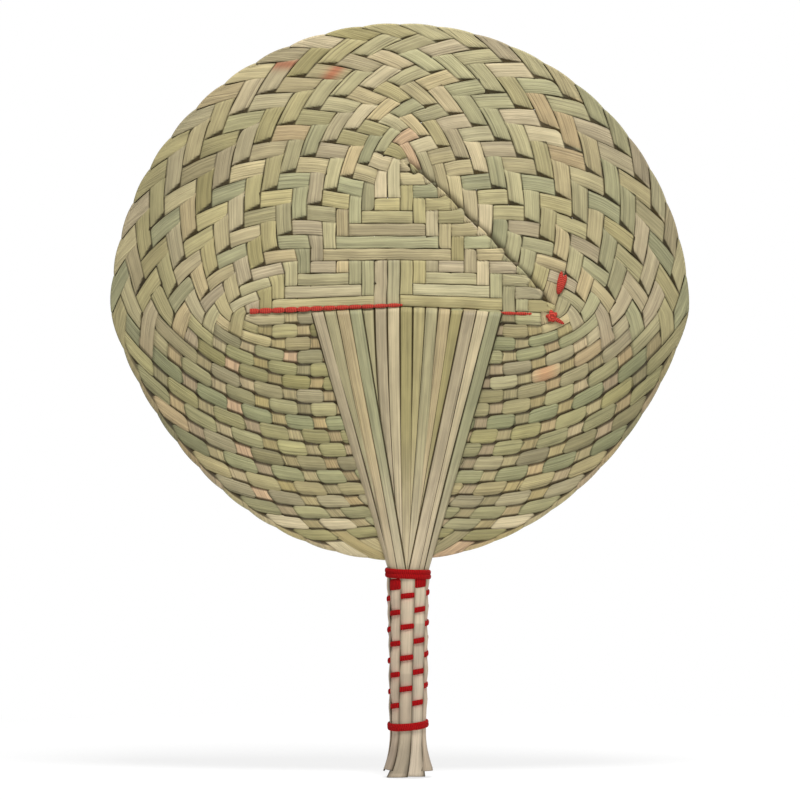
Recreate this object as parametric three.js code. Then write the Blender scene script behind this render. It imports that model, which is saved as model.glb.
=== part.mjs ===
// A hand fan plaited from flat leaf strips, with a yarn-bound handle made from the strips' own ends.
// Millimetres. +Z runs up along the handle and the front face looks towards -Y.
import * as THREE from 'three';

// The blade: a square panel of strips whose plait runs on over its edges, out to a round rim
const LANE = 6.4; // pitch of the strips in the panel
const HALF_COUNT = 12; // strips on each side of the panel's axis, and wefts above the start line
const RINGS = 18; // crossings from the panel's edge out to the rim
const RIM_RADIUS = 143.6;
const RIM_LIFT = 21; // how far the rim is drawn in above the handle
const RIM_BULGE = 0.18; // how much faster the rings spread near the panel
const POLE_SOFTENING = 0.2; // rounding of the panel's corners, in lanes per ring
const STRIP_THICKNESS = 0.6;
const STRIP_GAP = 1.15; // slit between neighbouring strips in the panel
const CLEARANCE = 0.3; // gap between pieces that touch on the real fan
const FINE_RINGS = 4; // inner rings, which bend most, where a level strip has a section at every slit
const FINE_REACH = 2; // steps either side of a corner's line where it has them too
const FOLD_QUARTERS = 2; // quarter turns in the fold of a strip at the rim
const AXIS_SHIFT = 1; // columns from the lattice's axis to the pattern's axis
const FIGURE_REACH = 10; // columns plus rows that the stepped figure at the panel's foot takes up
const FIGURE_ROWS = 4; // rows in which the figure's uprights show
const TWILL_REPEAT = 4; // rings after which the twill repeats

// The ribs: lower halves of the middle strips, left unwoven and gathered into the handle
const LEFT_RIBS = 7;
const RIGHT_RIBS = 8;
const LEFT_FRONT_RIBS = 4; // outer ribs that lie in front at the neck
const RIGHT_FRONT_RIBS = 3;
const RIB_SPREAD = 150; // degrees round the handle's front that the ribs take up at the neck
const RIB_RAMP = 8; // length over which the ribs climb into their layers
const FRONT_RIB_LEVELS = 3; // strip levels above the panel's middle
const BACK_RIB_LEVELS = 2;
const INFILL_REACH = 8; // lanes past the side corner that the short infill strips start at
const INFILL_RING = -1.5; // ring at which they start, inside the panel's edge
const RIB_STEPS = 6; // sections along a rib
const LOBE_END = 11.4; // lanes past the side corner where the lobes' strips end, behind the ribs

// The handle
const HANDLE_X = 4; // the handle stands a little right of the blade's axis
const NECK_Y = -130;
const CORE_RADIUS = 6.9;
const CORE_LENGTH = 92;
const STAKE_COUNT = 9;
const STAKE_WIDTH = 4.2;
const STAKE_SEAT = 1.6; // room for the yarn between the core and a stake
const TAIL_START = 79; // from the neck down to where the stakes flare
const TAIL_LENGTH = 22.5;
const TAIL_FLARE = 3.4;
const TAIL_UNEVEN = 5; // difference between the longest and the shortest stake
const TAIL_STRIDE = 4; // stakes from one length to the next longer one, which mixes them round the handle
const TAIL_STEPS = 3; // sections along a tail

// The red yarn
const YARN_WIDTH = 2.5;
const YARN_THICKNESS = 0.7;
const YARN_PITCH = 7.75;
const YARN_START = 11; // from the neck down to the yarn's first bar on the front stake
const YARN_LEAD = 5; // stakes that the yarn passes before that bar
const YARN_STAKES = 68; // stakes that it passes after it
const YARN_OVERHANG = 1; // degrees past a stake's edge where it turns in or out
const BINDING_YARN = 1.7;
const BINDING_PITCH = 2.2;
const TOP_BINDING_TURNS = 2.6;
const TOP_BINDING_RISE = 2.4; // above the neck
const BOTTOM_BINDING_TURNS = 1.9;
const BOTTOM_BINDING_START = 74.6; // below the neck
const START_YARN_SIZE = 0.8;
const LOOP_STEPS = 24; // sections in one turn of a binding

// Values that follow from the sizes above
const HALF_WIDTH = (1 - STRIP_GAP / LANE) / 2; // of a strip, in lanes
const TURN_INSET = HALF_WIDTH + (0.5 - HALF_WIDTH) / 2; // where a strip starts to change level, in lanes
const SLIT = 0.5 - TURN_INSET;
const LEVEL = STRIP_THICKNESS + CLEARANCE; // height of a strip that passes over or under another
const GRIP_Y = NECK_Y - TAIL_START / 2;
const QUARTER = HALF_COUNT; // lattice steps along one edge of the panel
const RIGHT = 2 * HALF_COUNT; // lattice position of the right-hand corner

const leaf = (colour) => new THREE.MeshStandardMaterial({ color: colour, roughness: 0.75, metalness: 0 });
const LEAF_TONES = [0xb9b48c, 0xa9ab82, 0xc6bb97, 0xb2a887, 0x9fa67c];
const yarnMaterial = new THREE.MeshStandardMaterial({ color: 0xb5121b, roughness: 0.95, metalness: 0 });
const coreMaterial = leaf(0x9c9470);

// The weave's lattice. A clockwise lane keeps its number a and a counter-clockwise lane its number b.
// Their crossing lies p = (a + b) / 2 steps round the panel from its left corner, and b - a rings out.

// The rim's point at p steps round from the left corner, where the top corner is a quarter on
function rimPoint(p) {
  const angle = Math.PI / 2 - ((p - QUARTER) * Math.PI) / (2 * QUARTER);
  const below = Math.min(0, Math.sin(angle));
  const radius = RIM_RADIUS - RIM_LIFT * (1 - (1 + below) ** 2);
  return new THREE.Vector2(radius * Math.cos(angle), radius * Math.sin(angle));
}

// The point on the panel's square edge, with its corners rounded off by some lanes
function edgePoint(p, rounding) {
  const fromTop = p - QUARTER;
  const run = QUARTER - Math.hypot(Math.abs(fromTop) - QUARTER, rounding);
  const rise = QUARTER - Math.hypot(fromTop, rounding);
  return new THREE.Vector2(Math.sign(fromTop) * run, rise).multiplyScalar(LANE);
}

// The lattice's point (a, b) on the blade: straight lanes in the panel, curved ones outside it
function place(a, b) {
  const p = (a + b) / 2;
  const ring = b - a;
  if (ring <= 0) {
    const side = Math.sign(p - QUARTER);
    const upper = Math.abs(p - QUARTER) < QUARTER ? 1 : -1;
    return edgePoint(p, 0).add(new THREE.Vector2(side, upper).multiplyScalar((ring * LANE) / 2));
  }
  const t = ring / RINGS;
  const edge = edgePoint(p, POLE_SOFTENING * Math.min(ring, RINGS / 2));
  return edge.lerp(rimPoint(p), t * (1 + RIM_BULGE * (1 - t)));
}

// Whether the panel's upright strip shows at a column, counted from the pattern's axis, and a row
function uprightShows(column, row) {
  const step = column + row - FIGURE_REACH;
  if (step <= 0) return row <= FIGURE_ROWS && column <= row;
  return Math.floor((step - 1) / 2) % 2 === 0;
}

// Whether the clockwise strip lies in front at a crossing: a stepped figure in the panel, twill outside
function clockwiseInFront(a, b) {
  const ring = b - a;
  const p = (a + b) / 2;
  if (ring >= 0 || p < 0 || p > RIGHT) {
    return THREE.MathUtils.euclideanModulo(ring + 1, TWILL_REPEAT) < TWILL_REPEAT / 2;
  }
  if (p > QUARTER) return !uprightShows(b - QUARTER + 0.5 + AXIS_SHIFT, RIGHT + 0.5 - a);
  const column = QUARTER + 0.5 - a;
  return uprightShows(column > AXIS_SHIFT ? column - AXIS_SHIFT : AXIS_SHIFT + 1 - column, b + 0.5);
}

// A closed solid through four-cornered sections, in order along the run
function ribbon(sections) {
  const corners = sections[0].length;
  const positions = sections.flat().flatMap((v) => [v.x, v.y, v.z]);
  const index = [];
  for (let s = 0; s + 1 < sections.length; s++) {
    for (let k = 0; k < corners; k++) {
      const here = s * corners + k;
      const next = s * corners + ((k + 1) % corners);
      index.push(here, next + corners, next, here, here + corners, next + corners);
    }
  }
  const last = (sections.length - 1) * corners;
  for (let k = 1; k + 1 < corners; k++) {
    index.push(0, k, k + 1, last, last + k + 1, last + k);
  }
  const geometry = new THREE.BufferGeometry();
  geometry.setAttribute('position', new THREE.Float32BufferAttribute(positions, 3));
  geometry.setIndex(index);
  geometry.computeVertexNormals();
  return geometry;
}

// A strip's section between its left and right edges, with its thickness along a normal
function section(left, right, normal) {
  const half = normal.clone().multiplyScalar(STRIP_THICKNESS / 2);
  return [left.clone().sub(half), right.clone().sub(half), right.clone().add(half), left.clone().add(half)];
}

// A section across the weave between two lattice points at one height
function weaveSection(left, right, height) {
  const raise = ([a, b]) => {
    const point = place(a, b);
    return new THREE.Vector3(point.x, point.y, height);
  };
  return section(raise(left), raise(right), new THREE.Vector3(0, 0, 1));
}

// The whole numbers between two values, which are the slits between lanes
function slitsBetween(from, to) {
  const slits = [];
  for (let n = Math.floor(from) + 1; n < to; n++) slits.push(n);
  return slits;
}

// A run along clockwise lane a, which keeps the middle level
function clockwiseRun(a, from, to) {
  const at = (b) => weaveSection([a - HALF_WIDTH, b], [a + HALF_WIDTH, b], 0);
  const stations = slitsBetween(from, to).filter((b) => {
    const corners = (a + b) / (2 * QUARTER);
    const fromCorner = Math.abs(corners - Math.round(corners)) * QUARTER;
    const bends = b - a < FINE_RINGS || fromCorner < FINE_REACH;
    return b - a > -1 && (bends || b % 2 === 0);
  });
  return [from, ...stations, to].map(at);
}

// The height of counter-clockwise lane b at its crossing with lane a
function crossingHeight(a, b) {
  const behindRibs = a > RIGHT + HALF_COUNT - RIGHT_RIBS && b - a < INFILL_RING;
  if (behindRibs) return -LEVEL;
  return clockwiseInFront(a, b) ? -LEVEL : LEVEL;
}

// A run along counter-clockwise lane b, which passes over and under the clockwise strips
function counterRun(b, from, to) {
  const at = (a, height) => weaveSection([a, b + HALF_WIDTH], [a, b - HALF_WIDTH], height);
  const heightIn = (a) => crossingHeight(Math.floor(a) + 0.5, b);
  const sections = [at(from, heightIn(from))];
  for (const slit of slitsBetween(from, to)) {
    const before = heightIn(slit - 0.5);
    const after = heightIn(slit + 0.5);
    if (before !== after) sections.push(at(slit - SLIT, before), at(slit + SLIT, after));
  }
  return [...sections, at(to, heightIn(to - SLIT))];
}

// The section of a strip that has been turned over
const turnedOver = ([first, second, third, fourth]) => [third, fourth, first, second];

// The fold of clockwise lane a at the rim, which turns the strip over to the front along the rim's line
function rimFold(a) {
  const ends = [a - HALF_WIDTH, a + HALF_WIDTH].map((lane) => place(lane, lane + RINGS));
  const middle = ends[0].clone().add(ends[1]).normalize();
  const outwards = new THREE.Vector3(middle.x, middle.y, 0);
  const upwards = new THREE.Vector3(0, 0, 1);
  return Array.from({ length: FOLD_QUARTERS + 1 }, (_, quarter) => {
    const angle = (quarter * Math.PI) / 2;
    const radius = LEVEL / 2;
    const [left, right] = ends.map((end) =>
      new THREE.Vector3(end.x, end.y, radius * (1 - Math.cos(angle)))
        .addScaledVector(outwards, radius * Math.sin(angle)),
    );
    const normal = upwards.clone().multiplyScalar(Math.cos(angle));
    return section(left, right, normal.addScaledVector(outwards, -Math.sin(angle)));
  });
}

// A run out to the rim along clockwise lane a, the fold there, and back in along the lane it turns into
const outAndBack = (a, from, to) => [
  ...clockwiseRun(a, from, a + RINGS - TURN_INSET),
  ...rimFold(a),
  ...counterRun(a + RINGS, a + TURN_INSET, to).map(turnedOver),
];

// Where a lane of a lobe ends behind the ribs, on the left side and, mirrored, on the right
const lobeStart = (lane) => Math.max(-2 * LOBE_END - lane, -INFILL_REACH);
const mirrored = (lane) => RIGHT - lane;
const lobeFinish = (lane) => mirrored(lobeStart(mirrored(lane)));

// Where an upright of a lobe meets the rim, or the end of the lobe if that comes first
const uprightFoot = (lane) => Math.max(lane - RINGS, -2 * LOBE_END - lane);

// The handle's radii, from its core outwards
const stakeInner = CORE_RADIUS + STAKE_SEAT;
const stakeCentre = stakeInner + STRIP_THICKNESS / 2;
const stakeOuter = stakeInner + STRIP_THICKNESS;
const backRibRadius = stakeCentre - STRIP_THICKNESS - 2 * CLEARANCE;

// A section of a flat strip that faces out from the handle's axis at some angle, seen down its run
function facingSection(x, y, z, angle, width, upwards) {
  const along = new THREE.Vector3(Math.cos(angle), 0, -Math.sin(angle)).multiplyScalar(width / 2);
  const normal = new THREE.Vector3(Math.sin(angle), 0, Math.cos(angle));
  const centre = new THREE.Vector3(x, y, z);
  const right = centre.clone().add(along);
  const left = centre.sub(along);
  return upwards ? section(left, right, normal) : section(right, left, normal);
}

// One rib from the start line down to the neck, numbered from the left, in its layer there
function rib(order, topX, upwards) {
  const count = LEFT_RIBS + RIGHT_RIBS;
  const frontCount = LEFT_FRONT_RIBS + RIGHT_FRONT_RIBS;
  const isRightFront = order >= count - RIGHT_FRONT_RIBS;
  const inFront = order < LEFT_FRONT_RIBS || isRightFront;
  const layerCount = inFront ? frontCount : count - frontCount;
  const layerOrder = isRightFront ? order - count + frontCount : inFront ? order : order - LEFT_FRONT_RIBS;
  const spacing = THREE.MathUtils.degToRad(RIB_SPREAD) / layerCount;
  const neckAngle = (layerOrder + 0.5 - layerCount / 2) * spacing;
  const neckRadius = inFront ? stakeCentre : backRibRadius;
  const innerFace = neckRadius - STRIP_THICKNESS / 2;
  const neckWidth = 2 * innerFace * Math.tan(spacing / 2) - CLEARANCE;
  const layerHeight = (inFront ? FRONT_RIB_LEVELS : BACK_RIB_LEVELS) * LEVEL;
  const end = NECK_Y + CLEARANCE / 2;
  const sectionAt = (y, height, bend) => {
    const down = y / end;
    const x = THREE.MathUtils.lerp(topX, HANDLE_X + neckRadius * Math.sin(neckAngle), down);
    const z = THREE.MathUtils.lerp(height, neckRadius * Math.cos(neckAngle), bend);
    const width = THREE.MathUtils.lerp(LANE - STRIP_GAP, neckWidth, down);
    return facingSection(x, y, z, neckAngle * bend, width, upwards);
  };
  const sections = [sectionAt(-SLIT * LANE, LEVEL, 0)];
  for (let step = 0; step <= RIB_STEPS; step++) {
    const t = step / RIB_STEPS;
    sections.push(sectionAt(THREE.MathUtils.lerp(-RIB_RAMP, end, t), layerHeight, t));
  }
  return upwards ? sections.reverse() : sections;
}

// An upright strip left of the axis: its rib or its foot in the lobe, the panel, the wall and the rim
function leftWarp(column) {
  const lane = HALF_COUNT + 0.5 - column;
  const foot = column - HALF_COUNT - 0.5;
  const lower =
    column <= LEFT_RIBS
      ? rib(LEFT_RIBS - column, -(column - 0.5) * LANE, true)
      : counterRun(foot, uprightFoot(foot), -SLIT);
  if (column <= RINGS - HALF_COUNT) return [...lower, ...outAndBack(lane, SLIT, lobeFinish(lane + RINGS))];
  const tucked = weaveSection(
    [lane + TURN_INSET, lane + RINGS + HALF_WIDTH],
    [lane + TURN_INSET, lane + RINGS - HALF_WIDTH],
    LEVEL,
  );
  const upper = clockwiseRun(lane, SLIT, lane + RINGS - TURN_INSET);
  return [...lower, ...upper, ...rimFold(lane), turnedOver(tucked)];
}

// An upright strip right of the axis, from its far end at the rim or in the left lobe down to its foot
function rightWarp(column) {
  const lane = HALF_COUNT - 0.5 + column;
  const rimLane = lane - RINGS;
  const folds = column <= RINGS - HALF_COUNT;
  const upper = folds
    ? outAndBack(rimLane, lobeStart(rimLane), RIGHT - SLIT)
    : counterRun(lane, rimLane + 1 - TURN_INSET, RIGHT - SLIT);
  if (column <= RIGHT_RIBS) {
    const lower = rib(LEFT_RIBS + column - 1, (column - 0.5) * LANE, false);
    return [...upper, ...(folds ? lower.map(turnedOver) : lower)];
  }
  const foot = mirrored(column - HALF_COUNT - 0.5);
  return [...upper, ...clockwiseRun(foot, RIGHT + SLIT, mirrored(uprightFoot(mirrored(foot))))];
}

// A weft: in from the left lobe, round the left rim, across the panel, round the right rim and back
function weft(row) {
  const leftLane = row - 0.5 - RINGS;
  const rightLane = RIGHT + 0.5 - row;
  return [
    ...outAndBack(leftLane, lobeStart(leftLane), QUARTER - SLIT),
    ...outAndBack(rightLane, QUARTER + SLIT, lobeFinish(rightLane + RINGS)).map(turnedOver),
  ];
}

// A short upright beside the ribs, on the left lobe or mirrored on the right one
const infillStart = (lane) => lane - INFILL_RING;
const leftInfill = (lane) => counterRun(lane, uprightFoot(lane), infillStart(lane));
const rightInfill = (lane) =>
  clockwiseRun(mirrored(lane), mirrored(infillStart(lane)), mirrored(uprightFoot(lane)));

// The lanes of the infill strips, out from the last upright that is woven below the start line
function infillLanes(ribCount) {
  const lanes = [];
  for (let lane = ribCount - HALF_COUNT - 0.5; lane > -INFILL_REACH; lane--) lanes.push(lane);
  return lanes;
}

// A stake of the handle, from the neck to its flared, uneven tail
function stake(order) {
  const angle = (order * 2 * Math.PI) / STAKE_COUNT;
  const unevenness = ((order * TAIL_STRIDE) % STAKE_COUNT) / (STAKE_COUNT - 1);
  const length = TAIL_LENGTH - TAIL_UNEVEN * unevenness;
  const sectionAt = (drop, flare) => {
    const radius = stakeCentre + flare;
    return facingSection(
      HANDLE_X + radius * Math.sin(angle),
      NECK_Y - drop,
      radius * Math.cos(angle),
      angle,
      STAKE_WIDTH,
      false,
    );
  };
  const tail = Array.from({ length: TAIL_STEPS }, (_, step) => {
    const t = (step + 1) / TAIL_STEPS;
    return sectionAt(TAIL_START + length * t, TAIL_FLARE * t * t);
  });
  return [sectionAt(CLEARANCE / 2, 0), sectionAt(TAIL_START, 0), ...tail];
}

// A six-sided section of yarn that runs round the handle at an angle
function yarnSection(angle, radius, y, width, thickness) {
  const outline = [
    [width / 2, 0],
    [width / 4, -thickness / 2],
    [-width / 4, -thickness / 2],
    [-width / 2, 0],
    [-width / 4, thickness / 2],
    [width / 4, thickness / 2],
  ];
  return outline.map(([along, out]) => {
    const r = radius + out;
    return new THREE.Vector3(HANDLE_X + r * Math.sin(angle), y + along, r * Math.cos(angle));
  });
}

// The weaving yarn: one helix, falling to the left, in front of every other stake. The odd count of stakes
// shifts each turn by one.
function weavingYarn() {
  const stakeTurn = (2 * Math.PI) / STAKE_COUNT;
  const over = stakeOuter + CLEARANCE + YARN_THICKNESS / 2;
  const under = stakeInner - CLEARANCE - YARN_THICKNESS / 2;
  const reach = Math.atan(STAKE_WIDTH / 2 / stakeInner) + THREE.MathUtils.degToRad(YARN_OVERHANG);
  const sections = [];
  for (let n = -YARN_LEAD; n <= YARN_STAKES; n++) {
    for (const side of [-reach, reach]) {
      const turned = n * stakeTurn + side;
      const radius = (n % 2 === 0 ? over : under) / Math.cos(reach);
      const y = NECK_Y - YARN_START - (YARN_PITCH * turned) / (2 * Math.PI);
      sections.push(yarnSection(-turned, radius, y, YARN_WIDTH, YARN_THICKNESS).reverse());
    }
  }
  return sections;
}

// A binding: the yarn wound close round the stakes, from a height above or below the neck
function binding(startY, turns) {
  const stepAngle = (2 * Math.PI) / LOOP_STEPS;
  const corner = Math.hypot(stakeOuter, STAKE_WIDTH / 2);
  const radius = (corner + CLEARANCE) / Math.cos(stepAngle / 2) + BINDING_YARN / 2;
  const steps = Math.round(turns * LOOP_STEPS);
  return Array.from({ length: steps + 1 }, (_, n) => {
    const y = startY - (BINDING_PITCH * n) / LOOP_STEPS;
    return yarnSection(n * stepAngle, radius, y, BINDING_YARN, BINDING_YARN);
  });
}

// The least distance between points of a winding that lie at least half a turn apart along it
function leastSelfGap(sections, stepsPerTurn) {
  let least = Infinity;
  sections.forEach((here, i) => {
    for (const there of sections.slice(i + Math.ceil(stepsPerTurn / 2))) {
      for (const v of here) for (const w of there) least = Math.min(least, v.distanceTo(w));
    }
  });
  return least;
}

const blade = new THREE.Group();
const addPiece = (name, geometry, material) => {
  const mesh = new THREE.Mesh(geometry, material);
  mesh.name = name;
  blade.add(mesh);
  return mesh;
};
const tone = (n) => leaf(LEAF_TONES[n % LEAF_TONES.length]);
const numbered = (n) => String(n).padStart(2, '0');

for (let n = 1; n <= HALF_COUNT; n++) {
  addPiece('warp_left_' + numbered(n), ribbon(leftWarp(n)), tone(n));
  addPiece('warp_right_' + numbered(n), ribbon(rightWarp(n)), tone(n + 2));
  addPiece('weft_' + numbered(n), ribbon(weft(n)), tone(2 * n));
}
infillLanes(LEFT_RIBS).forEach((lane, n) => {
  addPiece('infill_left_' + numbered(n + 1), ribbon(leftInfill(lane)), tone(n));
});
infillLanes(RIGHT_RIBS).forEach((lane, n) => {
  addPiece('infill_right_' + numbered(n + 1), ribbon(rightInfill(lane)), tone(n + 1));
});

const startYarnLength = 2 * HALF_COUNT * LANE;
const startYarn = new THREE.BoxGeometry(startYarnLength, START_YARN_SIZE, START_YARN_SIZE);
const startYarnHeight = LEVEL + STRIP_THICKNESS / 2 + CLEARANCE + START_YARN_SIZE / 2;
addPiece('start_yarn', startYarn, yarnMaterial).position.z = startYarnHeight;

const core = new THREE.CylinderGeometry(CORE_RADIUS, CORE_RADIUS, CORE_LENGTH, 2 * STAKE_COUNT);
addPiece('handle_core', core, coreMaterial).position.set(HANDLE_X, NECK_Y - CORE_LENGTH / 2, 0);
for (let n = 0; n < STAKE_COUNT; n++) {
  addPiece('handle_stake_' + numbered(n + 1), ribbon(stake(n)), tone(n));
}

const windings = {
  weaving_yarn: [weavingYarn(), 2 * STAKE_COUNT],
  top_binding: [binding(NECK_Y + TOP_BINDING_RISE, TOP_BINDING_TURNS), LOOP_STEPS],
  bottom_binding: [binding(NECK_Y - BOTTOM_BINDING_START, BOTTOM_BINDING_TURNS), LOOP_STEPS],
};
for (const [name, [sections, stepsPerTurn]] of Object.entries(windings)) {
  addPiece(name, ribbon(sections), yarnMaterial);
  console.log(name, 'least gap to itself', leastSelfGap(sections, stepsPerTurn).toFixed(2), 'mm');
}

// The blade is drawn flat, facing +Z, then stood up with the middle of the grip at the origin
blade.rotation.x = Math.PI / 2;
blade.position.set(-HANDLE_X, 0, -GRIP_Y);
const fan = new THREE.Group();
fan.add(blade);
fan.updateMatrixWorld(true);

export default fan;
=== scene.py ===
"""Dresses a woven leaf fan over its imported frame: the plaited blade, its ribs and the yarn-bound handle.

Shapes are worked out in millimetres on the blade's own plane, with x to the right, y up from the start line
and z towards the front. They become the frame's upright metres when a mesh is made.
"""
from __future__ import annotations

import logging
from dataclasses import dataclass, field
from enum import Enum

import bpy
import numpy as np
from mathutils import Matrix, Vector


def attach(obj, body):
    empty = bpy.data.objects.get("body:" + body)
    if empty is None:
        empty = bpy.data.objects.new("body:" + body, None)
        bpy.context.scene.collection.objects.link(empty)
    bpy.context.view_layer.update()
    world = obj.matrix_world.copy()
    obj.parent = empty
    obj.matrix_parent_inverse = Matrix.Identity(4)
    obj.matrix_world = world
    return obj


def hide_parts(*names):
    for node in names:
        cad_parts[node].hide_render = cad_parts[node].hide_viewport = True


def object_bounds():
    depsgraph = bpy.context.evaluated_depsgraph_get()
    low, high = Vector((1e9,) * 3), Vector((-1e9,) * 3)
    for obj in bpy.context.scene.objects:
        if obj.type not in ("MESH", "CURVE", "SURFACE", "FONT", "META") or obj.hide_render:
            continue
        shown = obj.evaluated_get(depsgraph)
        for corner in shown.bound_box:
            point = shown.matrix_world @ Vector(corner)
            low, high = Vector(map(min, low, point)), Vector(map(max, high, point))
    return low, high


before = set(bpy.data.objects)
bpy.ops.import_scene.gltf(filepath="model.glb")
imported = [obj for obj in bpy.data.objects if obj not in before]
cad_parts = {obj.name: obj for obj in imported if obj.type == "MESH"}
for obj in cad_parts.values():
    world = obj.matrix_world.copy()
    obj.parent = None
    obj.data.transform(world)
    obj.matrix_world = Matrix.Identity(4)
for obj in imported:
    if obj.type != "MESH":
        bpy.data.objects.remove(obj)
CAD_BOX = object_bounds()

LOG = logging.getLogger("leaf_fan")
SEED = 20
CORE_SEED = SEED + 99
STAKE_SEED = SEED + 100

# Sizes in millimetres, and places in the photograph
MILLIMETRE = 0.001
PIXELS_PER_MILLIMETRE = 2.0
PHOTO_MIDDLE_PIXEL = (400.0, 400.0)
START_LINE_PIXEL = (400.0, 313.0)
LANE = 6.4
HANDLE_X = 4.0
NECK_Y = -130.0
GRIP_BELOW_NECK = 39.5

# A place across a strip that it doesn't have, for a strip without a fold line
NO_CREASE = 2.0


class Family(Enum):
    """The two families of strips in the weave, by the way round the blade that they run outwards."""

    CLOCKWISE = "clockwise"
    COUNTER = "counter"


class Slot(Enum):
    """The record's material slots."""

    WARP = "leaf_green"
    WEFT = "leaf_tan"
    INFILL = "leaf_olive"
    STAKE = "leaf_pale"
    CORE = "leaf_core"
    YARN = "yarn_red"


# Small helpers


def smooth_step(x: np.ndarray) -> np.ndarray:
    """Rises smoothly from 0 at 0 to 1 at 1."""
    x = np.clip(x, 0.0, 1.0)
    return x * x * (3.0 - 2.0 * x)


def bell(x: np.ndarray, width: float) -> np.ndarray:
    """A bell-shaped bump of height 1 at 0."""
    return np.exp(-((x / width) ** 2))


def linear(red: float, green: float, blue: float) -> np.ndarray:
    """Turns a display colour, 0 to 255, into linear light."""
    c = np.array((red, green, blue)) / 255.0
    return np.where(c <= 0.04045, c / 12.92, ((c + 0.055) / 1.055) ** 2.4)


def blend(start: np.ndarray | float, end: np.ndarray | float, share: np.ndarray) -> np.ndarray:
    """Goes from one value to another by a share from 0 to 1."""
    return start * (1 - share) + end * share


def on_blade(px: float, py: float) -> np.ndarray:
    """The blade's point, in millimetres, at a pixel of the photograph."""
    return np.array((px - START_LINE_PIXEL[0], START_LINE_PIXEL[1] - py)) / PIXELS_PER_MILLIMETRE


def to_frame(points: np.ndarray) -> np.ndarray:
    """Stands the blade up in the frame: millimetres x, y, z become metres x, -z, y from the grip's middle."""
    x, y, z = np.moveaxis(points, -1, 0)
    return np.stack((x - HANDLE_X, -z, y - (NECK_Y - GRIP_BELOW_NECK)), -1) * MILLIMETRE


def unit(vectors: np.ndarray) -> np.ndarray:
    """Scales vectors to length 1."""
    return vectors / np.maximum(np.linalg.norm(vectors, axis=-1, keepdims=True), 1e-9)


def upwards(count: int) -> np.ndarray:
    """The upward direction, once for each station."""
    return np.tile((0.0, 1.0, 0.0), (count, 1))


def length_along(path: np.ndarray) -> np.ndarray:
    """How far along a path each of its points lies."""
    steps = np.linalg.norm(np.diff(path, axis=0), axis=-1)
    return np.concatenate(([0.0], np.cumsum(steps)))


# Finishes


class Nodes:
    """Places and links shader nodes in one tree."""

    def __init__(self, tree: bpy.types.NodeTree) -> None:
        """Keeps the tree that the nodes go into."""
        self.tree = tree

    def add(self, kind: str, inputs: dict | None = None, **properties) -> bpy.types.Node:
        """Adds a node.

        Args:
            kind: the node's type, without the ShaderNode prefix.
            inputs: values or output sockets by input name or number.
            properties: settings of the node itself.

        Returns:
            The node.
        """
        node = self.tree.nodes.new("ShaderNode" + kind)
        for name, value in properties.items():
            setattr(node, name, value)
        self.feed(node, inputs or {})
        return node

    def feed(self, node: bpy.types.Node, inputs: dict) -> None:
        """Gives a node's inputs, by name or number, a value each or a link from an output socket."""
        for name, value in inputs.items():
            socket = node.inputs[name]
            if isinstance(value, bpy.types.NodeSocket):
                self.tree.links.new(value, socket)
            else:
                socket.default_value = value

    def math(self, operation: str, *values) -> bpy.types.NodeSocket:
        """Adds a math node on values or sockets and returns its output."""
        return self.add("Math", dict(enumerate(values)), operation=operation).outputs[0]

    def remap(self, value, low: float, high: float, to_low: float, to_high: float) -> bpy.types.NodeSocket:
        """Maps a value smoothly from one range to another and returns the result."""
        names = ("Value", "From Min", "From Max", "To Min", "To Max")
        inputs = dict(zip(names, (value, low, high, to_low, to_high)))
        return self.add("MapRange", inputs, interpolation_type="SMOOTHSTEP").outputs[0]

    def scale_colour(self, colour, factor) -> bpy.types.NodeSocket:
        """Multiplies a colour by a value and returns the result."""
        return self.add("VectorMath", {0: colour, "Scale": factor}, operation="SCALE").outputs[0]


def new_group(
    name: str, inputs: dict[str, float], outputs: dict[str, str]
) -> tuple[Nodes, dict, bpy.types.Node]:
    """Starts a shader node group.

    Args:
        name: the group's name.
        inputs: its float inputs with their default values.
        outputs: its outputs with their socket types.

    Returns:
        The tree's nodes, its inputs by name, and its output node.
    """
    tree = bpy.data.node_groups.new(name, "ShaderNodeTree")
    for label, value in inputs.items():
        socket = tree.interface.new_socket(label, in_out="INPUT", socket_type="NodeSocketFloat")
        socket.default_value = value
    for label, kind in outputs.items():
        tree.interface.new_socket(label, in_out="OUTPUT", socket_type=kind)
    entry = tree.nodes.new("NodeGroupInput")
    finish = tree.nodes.new("NodeGroupOutput")
    return Nodes(tree), {label: entry.outputs[label] for label in inputs}, finish


def new_material(name: str) -> tuple[bpy.types.Material, Nodes, bpy.types.Node]:
    """Starts a material and returns it with its nodes and its shader."""
    material = bpy.data.materials.new(name)
    material.use_nodes = True
    return material, Nodes(material.node_tree), material.node_tree.nodes["Principled BSDF"]


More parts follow.
